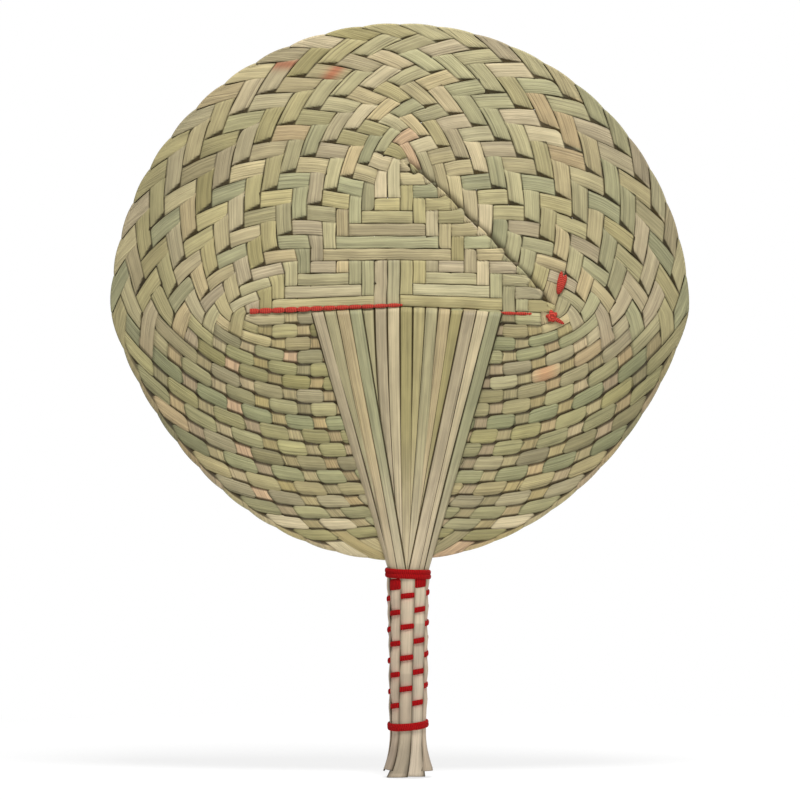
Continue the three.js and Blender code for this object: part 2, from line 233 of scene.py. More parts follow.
def leaf_fibre_group() -> bpy.types.NodeTree:
    """Makes the leaf's surface: lengthwise fibres and broad stains on the strip's tone, with shade painted in
    where it dives and along the ribs' edges.

    Returns:
        The group, with the colour, the roughness and the height for a bump.
    """
    values = {"Fibre": 0.3, "Stain": 0.2}
    # Painted shade: the dark, warm colour that the tone turns to where the strip's shade attribute is dark
    painted_shade_tint = (0.09, 0.07, 0.02)
    kinds = {"Colour": "NodeSocketColor", "Roughness": "NodeSocketFloat", "Height": "NodeSocketFloat"}
    nodes, inputs, finish = new_group("LeafFibre", values, kinds)
    tone = nodes.add("Attribute", attribute_name="tone").outputs["Color"]
    strip = nodes.add("Attribute", attribute_name="strip")
    parts = nodes.add("SeparateColor", {0: strip.outputs["Color"]}).outputs
    shade, across, seed = parts[0], parts[1], parts[2]
    crease = strip.outputs["Alpha"]
    place = nodes.add("SeparateXYZ", {0: nodes.add("UVMap", uv_map="lie").outputs[0]}).outputs
    shift = nodes.math("MULTIPLY", seed, 97.0)

    def noise(along: float, sideways: float, detail: float) -> bpy.types.NodeSocket:
        """Noise with so many grains a metre along the strip and across it."""
        x = nodes.math("MULTIPLY_ADD", place[0], along, shift)
        y = nodes.math("MULTIPLY_ADD", place[1], sideways, shift)
        vector = nodes.add("CombineXYZ", {0: x, 1: y, 2: shift}).outputs[0]
        return nodes.add("TexNoise", {"Vector": vector, "Scale": 1.0, "Detail": detail}).outputs[0]

    fine = nodes.remap(noise(30.0, 1600.0, 2.0), 0.3, 0.7, -0.5, 0.5)
    coarse = nodes.remap(noise(16.0, 600.0, 2.0), 0.3, 0.7, -0.5, 0.5)
    cloud = nodes.remap(noise(70.0, 200.0, 3.0), 0.35, 0.7, -0.5, 0.5)
    streak = nodes.remap(noise(12.0, 1100.0, 1.0), 0.6, 0.74, 0.0, 1.0)
    fibre = nodes.math("MULTIPLY_ADD", coarse, 0.7, fine)
    off_crease = nodes.math("ABSOLUTE", nodes.math("SUBTRACT", across, crease))
    line = nodes.remap(off_crease, 0.0, 0.06, 1.0, 0.0)
    light = nodes.math("MULTIPLY_ADD", fibre, inputs["Fibre"], 1.0)
    light = nodes.math("MULTIPLY_ADD", cloud, inputs["Stain"], light)
    light = nodes.math("MULTIPLY_ADD", line, -0.16, light)
    light = nodes.math("MULTIPLY_ADD", streak, -0.25, light)
    from_middle = nodes.math("ABSOLUTE", nodes.math("MULTIPLY_ADD", across, 2.0, -1.0))
    # Painted shade: dark lines along a rib's edges, where the gaps between the ribs fall into shadow
    is_rib = nodes.math("GREATER_THAN", seed, 1.0)
    rib_edge = nodes.math("MULTIPLY", nodes.remap(from_middle, 0.72, 0.84, 0.0, 0.97), is_rib)
    # The strip's painted shade, darker still at the ribs' edges, mixes the tone towards the painted shade
    # colour
    depth = nodes.math("MULTIPLY", shade, nodes.math("SUBTRACT", 1.0, rib_edge))
    painted_shade_colour = nodes.add("VectorMath", {0: tone, 1: painted_shade_tint}, operation="MULTIPLY").outputs[0]
    mixed = nodes.add("Mix", {0: depth, 6: painted_shade_colour, 7: tone}, data_type="RGBA")
    lit = nodes.scale_colour(mixed.outputs[2], light)
    rough = nodes.math("MULTIPLY_ADD", fibre, 0.12, 0.62)
    height = nodes.math("MULTIPLY_ADD", line, -0.8, fibre)
    nodes.feed(finish, {"Colour": lit, "Roughness": rough, "Height": height})
    return nodes.tree


def yarn_fibre_group() -> bpy.types.NodeTree:
    """Makes the yarn's surface: a slanting twist of plies with fine fibres, with shade painted into the
    grooves.

    Returns:
        The group, with a value for the colour's lightness, which holds painted shade in the grooves, and the
        height for a bump.
    """
    kinds = {"Light": "NodeSocketFloat", "Height": "NodeSocketFloat"}
    nodes, inputs, finish = new_group("YarnFibre", {"Ply": 1100.0, "Fuzz": 0.5}, kinds)
    place = nodes.add("SeparateXYZ", {0: nodes.add("UVMap", uv_map="lie").outputs[0]}).outputs
    wound = nodes.math("MULTIPLY_ADD", place[0], inputs["Ply"], place[1])
    ply = nodes.math("ABSOLUTE", nodes.math("SINE", nodes.math("MULTIPLY", wound, np.pi)))
    along = nodes.math("MULTIPLY", wound, 2.0)
    around = nodes.math("MULTIPLY", place[1], 9.0)
    vector = nodes.add("CombineXYZ", {0: along, 1: around}).outputs[0]
    fuzz = nodes.add("TexNoise", {"Vector": vector, "Scale": 2.0, "Detail": 4.0}).outputs[0]
    height = nodes.math("MULTIPLY_ADD", fuzz, inputs["Fuzz"], ply)
    # Painted shade: the colour darkens towards the grooves between the plies, with the fuzz's noise on top
    light = nodes.remap(height, 0.2, 1.3, 0.55, 1.2)
    nodes.feed(finish, {"Light": light, "Height": height})
    return nodes.tree


@dataclass(frozen=True)
class LeafFinish:
    """A dried leaf strip: matt, with lengthwise fibres.

    Attributes:
        name: the material's name.
        fibre: strength of the lengthwise streaks.
        stain: strength of the broad stains.
        bump: height of the fibres in metres.
        shine: the shader's specular level.
    """

    name: str
    fibre: float = 0.22
    stain: float = 0.16
    bump: float = 0.00012
    shine: float = 0.3

    def make(self, group: bpy.types.NodeTree) -> bpy.types.Material:
        """Makes the material on the shared leaf group and returns it."""
        material, nodes, shader = new_material(self.name)
        surface = nodes.add("Group", {"Fibre": self.fibre, "Stain": self.stain}, node_tree=group).outputs
        bump = nodes.add("Bump", {"Height": surface["Height"], "Distance": self.bump, "Strength": 1.0})
        nodes.feed(shader, {"Base Color": surface["Colour"], "Roughness": surface["Roughness"]})
        nodes.feed(shader, {"Specular IOR Level": self.shine, "Normal": bump.outputs[0]})
        return material


@dataclass(frozen=True)
class YarnFinish:
    """Soft red wool yarn.

    Attributes:
        name: the material's name.
        bump: height of the plies in metres.
        roughness: the shader's roughness.
        shine: its specular level.
    """

    name: str
    bump: float = 0.0003
    roughness: float = 0.95
    shine: float = 0.1

    def make(self, group: bpy.types.NodeTree) -> bpy.types.Material:
        """Makes the material on the shared yarn group and returns it."""
        material, nodes, shader = new_material(self.name)
        surface = nodes.add("Group", node_tree=group).outputs
        tone = nodes.add("Attribute", attribute_name="tone").outputs["Color"]
        # The tone times the group's lightness, with its painted shade in the grooves
        lit = nodes.scale_colour(tone, surface["Light"])
        bump = nodes.add("Bump", {"Height": surface["Height"], "Distance": self.bump, "Strength": 1.0})
        nodes.feed(shader, {"Roughness": self.roughness, "Specular IOR Level": self.shine})
        nodes.feed(shader, {"Base Color": lit, "Normal": bump.outputs[0]})
        return material


class Wardrobe:
    """Holds the finish of each material slot."""

    def __init__(self) -> None:
        """Builds the shared groups and the materials that use them."""
        leaf = leaf_fibre_group()
        yarn = yarn_fibre_group()
        finishes = {
            Slot.WARP: LeafFinish("warp_leaf"),
            Slot.WEFT: LeafFinish("weft_leaf", fibre=0.24, stain=0.18),
            Slot.INFILL: LeafFinish("infill_leaf", fibre=0.26),
            Slot.STAKE: LeafFinish("stake_leaf", fibre=0.16, stain=0.12),
            Slot.CORE: LeafFinish("core_leaf", fibre=0.4, stain=0.2, bump=0.0003),
        }
        self.materials = {slot: finish.make(leaf) for slot, finish in finishes.items()}
        self.materials[Slot.YARN] = YarnFinish("red_yarn").make(yarn)

    def dress(self, piece: bpy.types.Object, slot: Slot, *nodes: str) -> None:
        """Gives a piece its finish and its place in the frame.

        Args:
            piece: the object.
            slot: its material slot.
            nodes: the CAD nodes that it stands for.
        """
        piece.data.materials.append(self.materials[slot])
        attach(piece, "root")
        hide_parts(*nodes)
        LOG.info("%s: %d faces for %s", piece.name, len(piece.data.polygons), ", ".join(nodes))


# Meshes


@dataclass
class Loft:
    """A closed solid through rings of points, with what its material reads.

    Attributes:
        rings: points in millimetres, by ring and place round it. The count round a ring is even.
        uv: the strip's own coordinates at each point.
        tone: its linear colour at each point.
        strip: its painted shade, its place across, its seed (above 1 on a rib) and its crease at each point.
    """

    rings: np.ndarray
    uv: np.ndarray
    tone: np.ndarray
    strip: np.ndarray

    def quads(self) -> np.ndarray:
        """Joins each ring to the next and closes both ends with faces straight across the ring.

        Returns:
            The corners of the faces, which point outwards.
        """
        count, around = self.rings.shape[:2]
        index = np.arange(count * around).reshape(count, around)
        after = np.roll(index, -1, axis=1)
        walls = np.stack((index[:-1], index[1:], after[1:], after[:-1]), -1).reshape(-1, 4)
        j = np.arange(around // 2 - 1)
        cap = np.stack((j, j + 1, around - 2 - j, around - 1 - j), -1)
        faces = np.concatenate((walls, cap, index[-1, 0] + cap[:, ::-1]))
        p = self.rings.reshape(-1, 3)[faces]
        volume = np.einsum("ij,ij->", p[:, 0], np.cross(p[:, 1], p[:, 2]) + np.cross(p[:, 2], p[:, 3]))
        return faces if volume > 0 else faces[:, ::-1]


def make_piece(name: str, lofts: list[Loft]) -> bpy.types.Object:
    """Makes one object of one or more closed solids.

    Args:
        name: the object's name.
        lofts: the solids.

    Returns:
        The object, at the origin with its place in its mesh.
    """
    starts = np.cumsum([0] + [loft.rings.shape[0] * loft.rings.shape[1] for loft in lofts[:-1]])
    faces = np.concatenate([loft.quads() + start for loft, start in zip(lofts, starts)])
    points = np.concatenate([to_frame(loft.rings).reshape(-1, 3) for loft in lofts])
    mesh = bpy.data.meshes.new(name)
    mesh.vertices.add(len(points))
    mesh.vertices.foreach_set("co", points.ravel())
    mesh.loops.add(faces.size)
    mesh.loops.foreach_set("vertex_index", faces.ravel())
    mesh.polygons.add(len(faces))
    mesh.polygons.foreach_set("loop_start", np.arange(0, faces.size, 4))
    mesh.polygons.foreach_set("use_smooth", np.ones(len(faces), dtype=bool))
    mesh.update(calc_edges=True)
    uv = np.concatenate([loft.uv.reshape(-1, 2) for loft in lofts])[faces.ravel()]
    mesh.uv_layers.new(name="lie").data.foreach_set("uv", uv.ravel())
    for label in ("tone", "strip"):
        layers = [getattr(loft, label) for loft in lofts]
        values = np.concatenate([layer.reshape(-1, layer.shape[-1]) for layer in layers])
        if values.shape[1] == 3:
            values = np.concatenate((values, np.ones((len(values), 1))), 1)
        mesh.attributes.new(label, "FLOAT_COLOR", "POINT").data.foreach_set("color", values.ravel())
    piece = bpy.data.objects.new(name, mesh)
    bpy.context.scene.collection.objects.link(piece)
    return piece


@dataclass
class Trace:
    """The middle surface of a strip, or of part of one.

    Attributes:
        points: by station and place across.
        level: 1 where the strip is in front to -1 where it is behind, by station and place across.
        front_shade: painted shade on its front, as the light left, from 1 down, by station and place across.
        bare: 1 where no strip crosses it, so that both sides are lit, by station.
        rib: 1 where it is a rib, by station.
        lobe: 1 where it lies level in a lobe to -1 where it stands upright in one, by station.
    """

    points: np.ndarray
    level: np.ndarray
    front_shade: np.ndarray
    bare: np.ndarray
    rib: np.ndarray
    lobe: np.ndarray

    @classmethod
    def open(cls, points: np.ndarray, rib: float) -> Trace:
        """A surface that nothing crosses, of a rib or not."""
        ones = np.ones(points.shape[:2])
        return cls(points, ones, ones, ones[:, 0], np.full(len(points), rib), np.zeros(len(points)))

    @classmethod
    def joined(cls, parts: list[Trace]) -> Trace:
        """One surface of several parts."""
        names = ("points", "level", "front_shade", "bare", "rib", "lobe")
        return cls(*(np.concatenate([getattr(part, name) for part in parts]) for name in names))

    @property
    def spine(self) -> np.ndarray:
        """The points along its middle, by station."""
        return self.points[:, self.points.shape[1] // 2]

    @property
    def spine_level(self) -> np.ndarray:
        """The level along its middle, by station."""
        return self.level[:, self.level.shape[1] // 2]

    def away_from(self, pixel: tuple[float, float]) -> np.ndarray:
        """How far its middle lies from a pixel of the photograph, in millimetres, by station."""
        return np.linalg.norm(self.spine[:, :2] - on_blade(*pixel), axis=-1)

    def floats(self) -> np.ndarray:
        """Numbers the stretches in front and behind along the strip, by station."""
        front = self.spine_level > 0
        return np.concatenate(([0], np.cumsum(front[1:] != front[:-1])))


@dataclass(frozen=True)
class LeafStrip:
    """The section of a leaf strip.

    Attributes:
        thickness: in millimetres.
        edge_thin: share of the thickness that the very edges lose.
        edge_shade_depth: how much painted shade darkens the strips' edges, where they are darkest.
        edge_start: place across, from the middle, where an edge's painted shade starts.
        edge_soft: width over which it darkens.
        dusk: level behind which a side gets painted shade.
        dusk_soft: change of level over which it darkens.
        across: places across the strip, from edge to edge, closer at the edges.
    """

    thickness: float = 0.62
    edge_thin: float = 0.45
    edge_shade_depth: float = 0.34
    edge_start: float = 0.79
    edge_soft: float = 0.14
    dusk: float = 0.05
    dusk_soft: float = 0.35
    across: tuple[float, ...] = (-1.0, -0.93, -0.8, -0.45, -0.15, 0.15, 0.45, 0.8, 0.93, 1.0)

    @property
    def q(self) -> np.ndarray:
        """The places across as a row."""
        return np.array(self.across)

    def loft(self, trace: Trace, tone: np.ndarray, seed: float, crease: float) -> Loft:
        """Gives a strip's middle surface its thickness.

        A point moves half the thickness both ways along the surface's normal, less near the edges. Shade is
        painted on the side that looks to the front where the level falls below the front, on the back the
        other way, and on the edges.

        Args:
            trace: the middle surface.
            tone: linear colour by station.
            seed: shifts the strip's fibres.
            crease: place across of a fold line, from 0 to 1, or NO_CREASE.

        Returns:
            The closed strip.
        """
        q = self.q
        middle = trace.points
        normal = unit(np.cross(np.gradient(middle, axis=0), np.gradient(middle, axis=1)))
        half = (self.thickness / 2) * (1.0 - self.edge_thin * np.abs(q) ** 10)[None, :, None]
        front = normal[..., 2] > 0
        facing = np.where(front, trace.level, -trace.level)
        along = length_along(trace.spine)
        # Painted shade along the edges, stronger and weaker in a slow wave along each edge
        edge_shade_wave = 0.6 + 0.4 * np.sin(0.21 * along[:, None] + 40.0 * seed + np.where(q > 0, 2.0, 0.0))
        edge = 1.0 - self.edge_shade_depth * edge_shade_wave * smooth_step((np.abs(q) - self.edge_start) / self.edge_soft)
        bare = trace.bare[:, None]
        # Painted shade on each side: dark where that side lies behind, unless nothing crosses it, times the
        # painted shade on the front
        upper = edge * np.maximum(smooth_step((facing + self.dusk) / self.dusk_soft), bare)
        upper = upper * np.where(front, trace.front_shade, 1.0)
        lower = edge * np.maximum(smooth_step((self.dusk - facing) / self.dusk_soft), bare)
        lower = lower * np.where(front, 1.0, trace.front_shade)
        rings = np.concatenate((middle + normal * half, (middle - normal * half)[:, ::-1]), 1)
        shade = np.concatenate((upper, lower[:, ::-1]), 1)
        count, around = shade.shape
        sideways = np.linalg.norm(middle[:, -1] - middle[:, 0], axis=-1)
        ring_q = np.concatenate((q, q[::-1]))
        u = np.repeat(along[:, None], around, 1) * MILLIMETRE
        v = 0.5 * sideways[:, None] * ring_q[None, :] * MILLIMETRE
        place = np.repeat((ring_q * 0.5 + 0.5)[None, :], count, 0)
        seeds = np.repeat((trace.rib + seed)[:, None], around, 1)
        marks = np.stack((shade, place, seeds, np.full_like(shade, crease)), -1)
        return Loft(rings, np.stack((u, v), -1), np.repeat(tone[:, None, :], around, 1), marks)


@dataclass(frozen=True)
class YarnSection:
    """The oval section of a yarn.

    Attributes:
        colour: the yarn's display colour.
        around: points round it.
    """

    colour: tuple[float, float, float] = (156.0, 14.0, 17.0)
    around: int = 12

    def loft(self, path: np.ndarray, side: np.ndarray, width: np.ndarray, depth: np.ndarray) -> Loft:
        """Carries an oval along a path.

        A ring's point lies the cosine of its angle times the width along the side vector, and the sine times
        the depth along the vector square to the path and to the side.

        Args:
            path: the yarn's middle, in millimetres, by station.
            side: the direction of its width at each station.
            width: its half-width at each station.
            depth: its half-depth at each station.

        Returns:
            The closed yarn.
        """
        forward = unit(np.gradient(path, axis=0))
        side = unit(side - forward * np.sum(side * forward, -1, keepdims=True))
        out = np.cross(forward, side)
        angle = np.arange(self.around) * 2 * np.pi / self.around
        wide = np.cos(angle)[None, :, None] * (side * width[:, None])[:, None, :]
        deep = np.sin(angle)[None, :, None] * (out * depth[:, None])[:, None, :]
        rings = path[:, None, :] + wide + deep
        u = np.repeat(length_along(path)[:, None] * MILLIMETRE, self.around, 1)
        v = np.repeat((angle / (2 * np.pi))[None, :], len(path), 0)
        ones = np.ones(rings.shape[:2])
        marks = np.stack((ones, v, ones * 0.5, ones * NO_CREASE), -1)
        tone = np.broadcast_to(linear(*self.colour), rings.shape)
        return Loft(rings, np.stack((u, v), -1), tone, marks)

    @staticmethod
    def taper(count: int, tips: int) -> np.ndarray:
        """A factor by station that rounds off both ends over some stations."""
        from_end = np.minimum(np.arange(count), np.arange(count)[::-1])
        return np.sqrt(1.0 - (1.0 - np.clip((from_end + 0.15) / tips, 0.0, 1.0)) ** 2)


# Leaf colours


@dataclass(frozen=True)
class Stain:
    """A dyed or rusty patch on the weave.

    Attributes:
        pixel: its middle in the photograph.
        radius: how far it spreads along its strip, in millimetres.
        colour: its display colour.
        strength: how much of the leaf's colour it covers.
    """

    pixel: tuple[float, float]
    radius: float
    colour: tuple[float, float, float]
    strength: float = 0.75


class Blush(Enum):
    """The display colours of the few floats that stand out."""

    PEACH = (184, 156, 122)
    CREAM = (192, 178, 142)
    TAN = (172, 152, 114)


@dataclass(frozen=True)
class LeafTones:
    """The colours that dried leaf strips take, and how much they vary.

    Attributes:
        palette: display colours.
        weights: how common each is.
        blushes: pixels of the few floats that have another colour, by that colour.
        blush_reach: how near such a float lies to its pixel, in millimetres.
        most_mixed: the second tone's largest share.
        uneven: how much the floats' lightness varies.
        lightness: its lowest and its highest value.
        stains: patches of other colours.
    """

    palette: tuple[tuple[float, float, float], ...] = (
        (170, 161, 122),
        (157, 154, 117),
        (174, 160, 129),
        (160, 149, 101),
        (184, 166, 125),
        (174, 162, 115),
        (142, 134, 95),
        (196, 181, 144),
    )
    weights: tuple[float, ...] = (0.24, 0.16, 0.16, 0.08, 0.12, 0.12, 0.06, 0.06)
    blushes: tuple[tuple[Blush, tuple[tuple[float, float], ...]], ...] = (
        (Blush.PEACH, ((402, 142), (232, 365), (234, 405), (244, 450), (262, 495), (290, 356), (455, 549))),
        (Blush.CREAM, ((308, 110), (355, 124), (528, 68), (277, 523), (353, 527), (341, 546), (502, 527))),
        (Blush.TAN, ((298, 130), (542, 110), (563, 122), (567, 161), (598, 341), (180, 418), (651, 216))),
    )
    blush_reach: float = 2.2
    most_mixed: float = 0.6
    uneven: float = 0.1
    lightness: tuple[float, float] = (0.8, 1.25)
    stains: tuple[Stain, ...] = (
        Stain((241.0, 66.0), 4.5, (164, 92, 56), 0.9),
        Stain((284.0, 62.0), 3.6, (154, 78, 48), 0.9),
        Stain((332.0, 74.0), 3.4, (164, 84, 54), 0.75),
        Stain((405.0, 52.0), 8.0, (196, 152, 116), 0.6),
        Stain((606.0, 112.0), 6.0, (190, 142, 102), 0.6),
        Stain((682.0, 242.0), 6.0, (180, 108, 58), 0.8),
        Stain((545.0, 372.0), 7.0, (190, 136, 96), 0.7),
    )

    def along(self, rng: np.random.Generator, floats: np.ndarray, main: int | None = None) -> np.ndarray:
        """Draws a strip's colours: two palette tones, mixed afresh and lighter or darker in each float.

        Args:
            rng: the strip's own random numbers.
            floats: the number of the float that each station lies in.
            main: the first tone's place in the palette, if it is known.

        Returns:
            Linear colours by station.
        """
        colours = np.array([linear(*tone) for tone in self.palette])
        first, second = colours[rng.choice(len(colours), 2, p=np.array(self.weights) / sum(self.weights))]
        first = first if main is None else colours[main]
        count = int(floats.max()) + 1
        mix = rng.uniform(0.0, self.most_mixed, count)[floats, None]
        light = np.clip(rng.normal(1.0, self.uneven, count), *self.lightness)[floats, None]
        return blend(first, second, mix) * light

    def shown_at(self, trace: Trace, pixel: tuple[float, float]) -> np.ndarray:
        """Whether each station lies in the float that shows at a pixel, if one of this strip's does."""
        floats = trace.floats()
        away = np.where(trace.spine_level > 0.5, trace.away_from(pixel), np.inf)
        return (floats == floats[away.argmin()]) & (away.min() < self.blush_reach)

    def marked(self, tone: np.ndarray, trace: Trace) -> np.ndarray:
        """Colours the floats that have blushed or are stained.

        A blush covers its float, and a stain dies away along it.

        Args:
            tone: the strip's linear colours by station.
            trace: the strip's surface.

        Returns:
            The colours with the marks on them.
        """
        for blush, pixels in self.blushes:
            for pixel in pixels:
                tone = np.where(self.shown_at(trace, pixel)[:, None], linear(*blush.value), tone)
        for stain in self.stains:
            spread = stain.strength * bell(trace.away_from(stain.pixel), stain.radius)
            share = spread * self.shown_at(trace, stain.pixel)
            tone = blend(tone, linear(*stain.colour), share[:, None])
        return tone


# The blade


@dataclass(frozen=True)
class Lattice:
    """The weave's lattice, in lanes.

    A clockwise lane keeps its number a and a counter-clockwise lane its number b. Their crossing lies
    p = (a + b) / 2 steps round the panel from its left corner, and b - a rings out from the panel's edge.

    Attributes:
        lane: pitch of the strips in the panel, in millimetres.
        half: strips on each side of the panel's axis.
        rings: crossings from the panel's edge out to the rim.
        rim_radius: in millimetres.
        rim_lift: how far the rim is drawn in above the handle.
        rim_bulge: how much faster the rings spread near the panel.
        softening: rounding of the panel's corners, in lanes per ring.
        axis_shift: columns from the lattice's axis to the pattern's axis.
        figure_reach: columns plus rows that the stepped figure takes up.
        figure_rows: rows in which the figure's uprights show.
        twill_repeat: rings after which the twill repeats in the wall.
        lobe_repeat: the same in the lobes, where the upright strip shows in one ring of them.
        lobe_past: steps past the side corners at which the lobes' twill starts.
    """

    lane: float = LANE
    half: int = 12
    rings: int = 18
    rim_radius: float = 143.6
    rim_lift: float = 21.0
    rim_bulge: float = 0.18
    softening: float = 0.2
    axis_shift: int = 1
    figure_reach: int = 10
    figure_rows: int = 4
    twill_repeat: int = 4
    lobe_repeat: int = 3
    lobe_past: float = 0.75

    @property
    def right(self) -> int:
        """The lattice's position of the right-hand corner."""
        return 2 * self.half

    def mirrored(self, lane: float) -> float:
        """A lane's number, or a place along one, seen from the other side."""
        return self.right - lane

    def rim(self, p: np.ndarray) -> np.ndarray:
        """The rim's points p steps round from the left corner: a circle, drawn in above the handle."""
        angle = np.pi / 2 - (p - self.half) * np.pi / (2 * self.half)
        below = np.minimum(0.0, np.sin(angle))
        radius = self.rim_radius - self.rim_lift * (1.0 - (1.0 + below) ** 2)
        return radius[..., None] * np.stack((np.cos(angle), np.sin(angle)), -1)

    def edge(self, p: np.ndarray, rounding: np.ndarray | float) -> np.ndarray:
        """The points of the panel's square edge, with its corners rounded off by some lanes."""
        from_top = p - self.half
        run = self.half - np.hypot(np.abs(from_top) - self.half, rounding)
        rise = self.half - np.hypot(from_top, rounding)
        return self.lane * np.stack((np.sign(from_top) * run, rise), -1)

    def place(self, a: np.ndarray, b: np.ndarray) -> np.ndarray:
        """Places lattice points on the blade.

        In the panel the lanes are straight. Outside it a point moves from the panel's edge to the rim, faster
        at first, by its share of the rings.

        Args:
            a: clockwise lane numbers.
            b: counter-clockwise lane numbers.

        Returns:
            Points in millimetres.
        """
        p = (a + b) / 2
        ring = b - a
        from_top = p - self.half
        slope = np.stack((np.sign(from_top), np.where(np.abs(from_top) < self.half, 1.0, -1.0)), -1)
        inside = self.edge(p, 0.0) + slope * (ring * self.lane / 2)[..., None]
        share = ring / self.rings
        start = self.edge(p, self.softening * np.clip(ring, 0.0, self.rings / 2))
        outside = start + (self.rim(p) - start) * (share * (1.0 + self.rim_bulge * (1.0 - share)))[..., None]
        return np.where((ring <= 0)[..., None], inside, outside)

    def upright_shows(self, column: np.ndarray, row: np.ndarray) -> np.ndarray:
        """Whether the panel's upright strip shows, at a column from the pattern's axis and a row."""
        step = column + row - self.figure_reach
        figure = (row <= self.figure_rows) & (column <= row)
        return np.where(step <= 0, figure, np.floor((step - 1) / 2) % 2 == 0)

    def clockwise_in_front(self, a: np.ndarray, b: np.ndarray) -> np.ndarray:
        """Whether the clockwise strip lies in front: a stepped figure in the panel, twills outside it."""
        p = (a + b) / 2
        ring = b - a
        twill = (np.round(ring) + 1) % self.twill_repeat < self.twill_repeat / 2
        on_right = ~self.upright_shows(b - self.half + 0.5 + self.axis_shift, self.right + 0.5 - a)
        column = self.half + 0.5 - a
        column = np.where(column > self.axis_shift, column - self.axis_shift, self.axis_shift + 1 - column)
        on_left = self.upright_shows(column, b + 0.5)
        level_shows = np.round(ring) % self.lobe_repeat != 0
        twill = np.where(p < -self.lobe_past, level_shows, twill)
        twill = np.where(p > self.right + self.lobe_past, ~level_shows, twill)
        outside = (ring >= 0) | (p < 0) | (p > self.right)
        return np.where(outside, twill, np.where(p > self.half, on_right, on_left))


@dataclass(frozen=True)
class Run:
    """A stretch of a strip along one lane.

    Attributes:
        family: the lane's family.
        lane: its number.
        start: where the run starts, by the number of the lane that it crosses there.
        end: where it ends.
    """

    family: Family
    lane: float
    start: float
    end: float


@dataclass(frozen=True)
class Rib:
    """The unwoven lower half of a middle strip.

    Attributes:
        order: its number from the left.
        top_x: where it leaves the start line, in millimetres.
    """

    order: int
    top_x: float


@dataclass
class StripPlan:
    """The route of one strip: legs of runs with a fold at the rim between legs, and a rib at one end or none.

    Attributes:
        node: the CAD node that it stands for.
        slot: its material slot.
        legs: the runs of each leg.
        rib: its rib.
        rib_first: whether the rib comes before the legs.
        tone: its main colour's place in the palette, if it is known.
    """

    node: str
    slot: Slot
    legs: list[list[Run]]
    rib: Rib | None = None
    rib_first: bool = False
    tone: int | None = None


